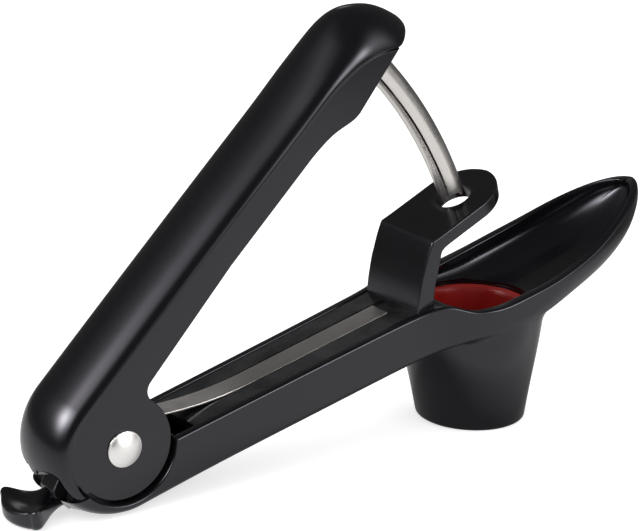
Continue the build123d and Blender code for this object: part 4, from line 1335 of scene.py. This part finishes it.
def makeFloor():
    half = studio["floorSize"] / 2
    mesh = bpy.data.meshes.new("floor")
    corners = [(-half, -half, 0), (half, -half, 0), (half, half, 0), (-half, half, 0)]
    mesh.from_pydata(corners, [], [(0, 1, 2, 3)])
    floor = addObject("floor", mesh)
    material, tree, shader = newMaterial("floorPaper")
    place = addNode(tree, "ShaderNodeTexCoord").outputs["Object"]
    light = addNode(tree, "ShaderNodeLightPath").outputs
    inputs = {
        "Base Color": blendColours(tree, noise(tree, place, 60.0, 4.0, 0.6), *studio["floorColours"]),
        "Roughness": 0.9,
        "Specular IOR Level": 0.0,
        "Emission Strength": times(tree, light["Is Camera Ray"], studio["floorGlow"]),
        "Emission Color": (1.0, 1.0, 1.0, 1.0),
    }
    feed(tree, shader, inputs)
    # Gloss sees a glowing sheet in place of the floor: a painted pool of light, dim from its edge on, and a
    # painted shadow under the tool.
    levels = []
    for area in (studio["paintedLightPool"], studio["under"]):
        ellipse = {
            "Vector": place,
            "Location": (*area["middle"], 0.0),
            "Rotation": (0.0, 0.0, math.radians(area["turn"])),
            "Scale": (*area["half"], 1.0),
        }
        turned = addNode(tree, "ShaderNodeMapping", ellipse, vector_type="TEXTURE").outputs["Vector"]
        far = addNode(tree, "ShaderNodeVectorMath", {0: turned}, operation="LENGTH").outputs["Value"]
        levels.append(spread(tree, far, *area["edge"], *area["levels"]))
    paintedFloorLight = addNode(tree, "ShaderNodeEmission", {"Strength": times(tree, *levels)}).outputs[0]
    surfaces = {0: light["Is Glossy Ray"], 1: shader.outputs[0], 2: paintedFloorLight}
    choice = addNode(tree, "ShaderNodeMixShader", surfaces).outputs[0]
    join(tree, choice, tree.nodes["Material Output"].inputs["Surface"])
    mesh.materials.append(material)


def makeWorld():
    # White to the camera and even to matt surfaces. Gloss sees a dim room with soft-edged light boxes in it:
    # each adds brightness * exp((cosine of the angle to its middle - 1) / half width squared).
    world = bpy.data.worlds.new("studioWorld")
    world.use_nodes = True
    tree = world.node_tree
    place = addNode(tree, "ShaderNodeTexCoord").outputs["Generated"]
    seen = studio["dimRoom"]
    for azimuth, elevation, halfWidth, brightness in studio["softBoxes"]:
        inputs = {0: place, 1: direction(azimuth, elevation)}
        cosine = addNode(tree, "ShaderNodeVectorMath", inputs, operation="DOT_PRODUCT").outputs["Value"]
        power = times(tree, compute(tree, "SUBTRACT", cosine, 1.0), math.radians(halfWidth) ** -2)
        seen = plus(tree, seen, times(tree, compute(tree, "POWER", math.e, power), brightness))
    light = addNode(tree, "ShaderNodeLightPath").outputs
    change = times(tree, compute(tree, "SUBTRACT", seen, studio["ambient"]), light["Is Glossy Ray"])
    level = plus(tree, change, studio["ambient"])
    unseen = compute(tree, "SUBTRACT", 1.0, light["Is Camera Ray"])
    strength = plus(tree, times(tree, level, unseen), light["Is Camera Ray"])
    feed(tree, tree.nodes["Background"], {"Strength": strength, "Color": (1.0, 1.0, 1.0, 1.0)})
    bpy.context.scene.world = world


def makeLights():
    for name, place, aim, size, energy in studio["lights"]:
        data = bpy.data.lights.new(name, "AREA")
        data.shape = "RECTANGLE"
        data.size, data.size_y = size
        data.energy = energy
        lamp = addObject(name, data)
        lamp.visible_glossy = False
        turned = (Vector(place) - Vector(aim)).to_track_quat("Z", "Y").to_matrix().to_4x4()
        lamp.matrix_world = Matrix.Translation(place) @ turned


def makeCamera():
    view = studio["camera"]
    data = bpy.data.cameras.new("camera")
    data.lens = view["lens"]
    data.sensor_width = 36.0
    data.sensor_fit = "HORIZONTAL"
    data.clip_start = 0.01
    camera = addObject("camera", data)
    columns = [np.array(view["right"]), -np.array(view["down"]), -np.array(view["forward"])]
    turned = Matrix(np.column_stack(columns).tolist()).to_4x4()
    camera.matrix_world = Matrix.Translation(view["place"]) @ turned
    bpy.context.scene.camera = camera


makeFloor()
makeWorld()
makeLights()
makeCamera()
bpy.context.scene.view_settings.view_transform = "Standard"
print("stage: studio made")
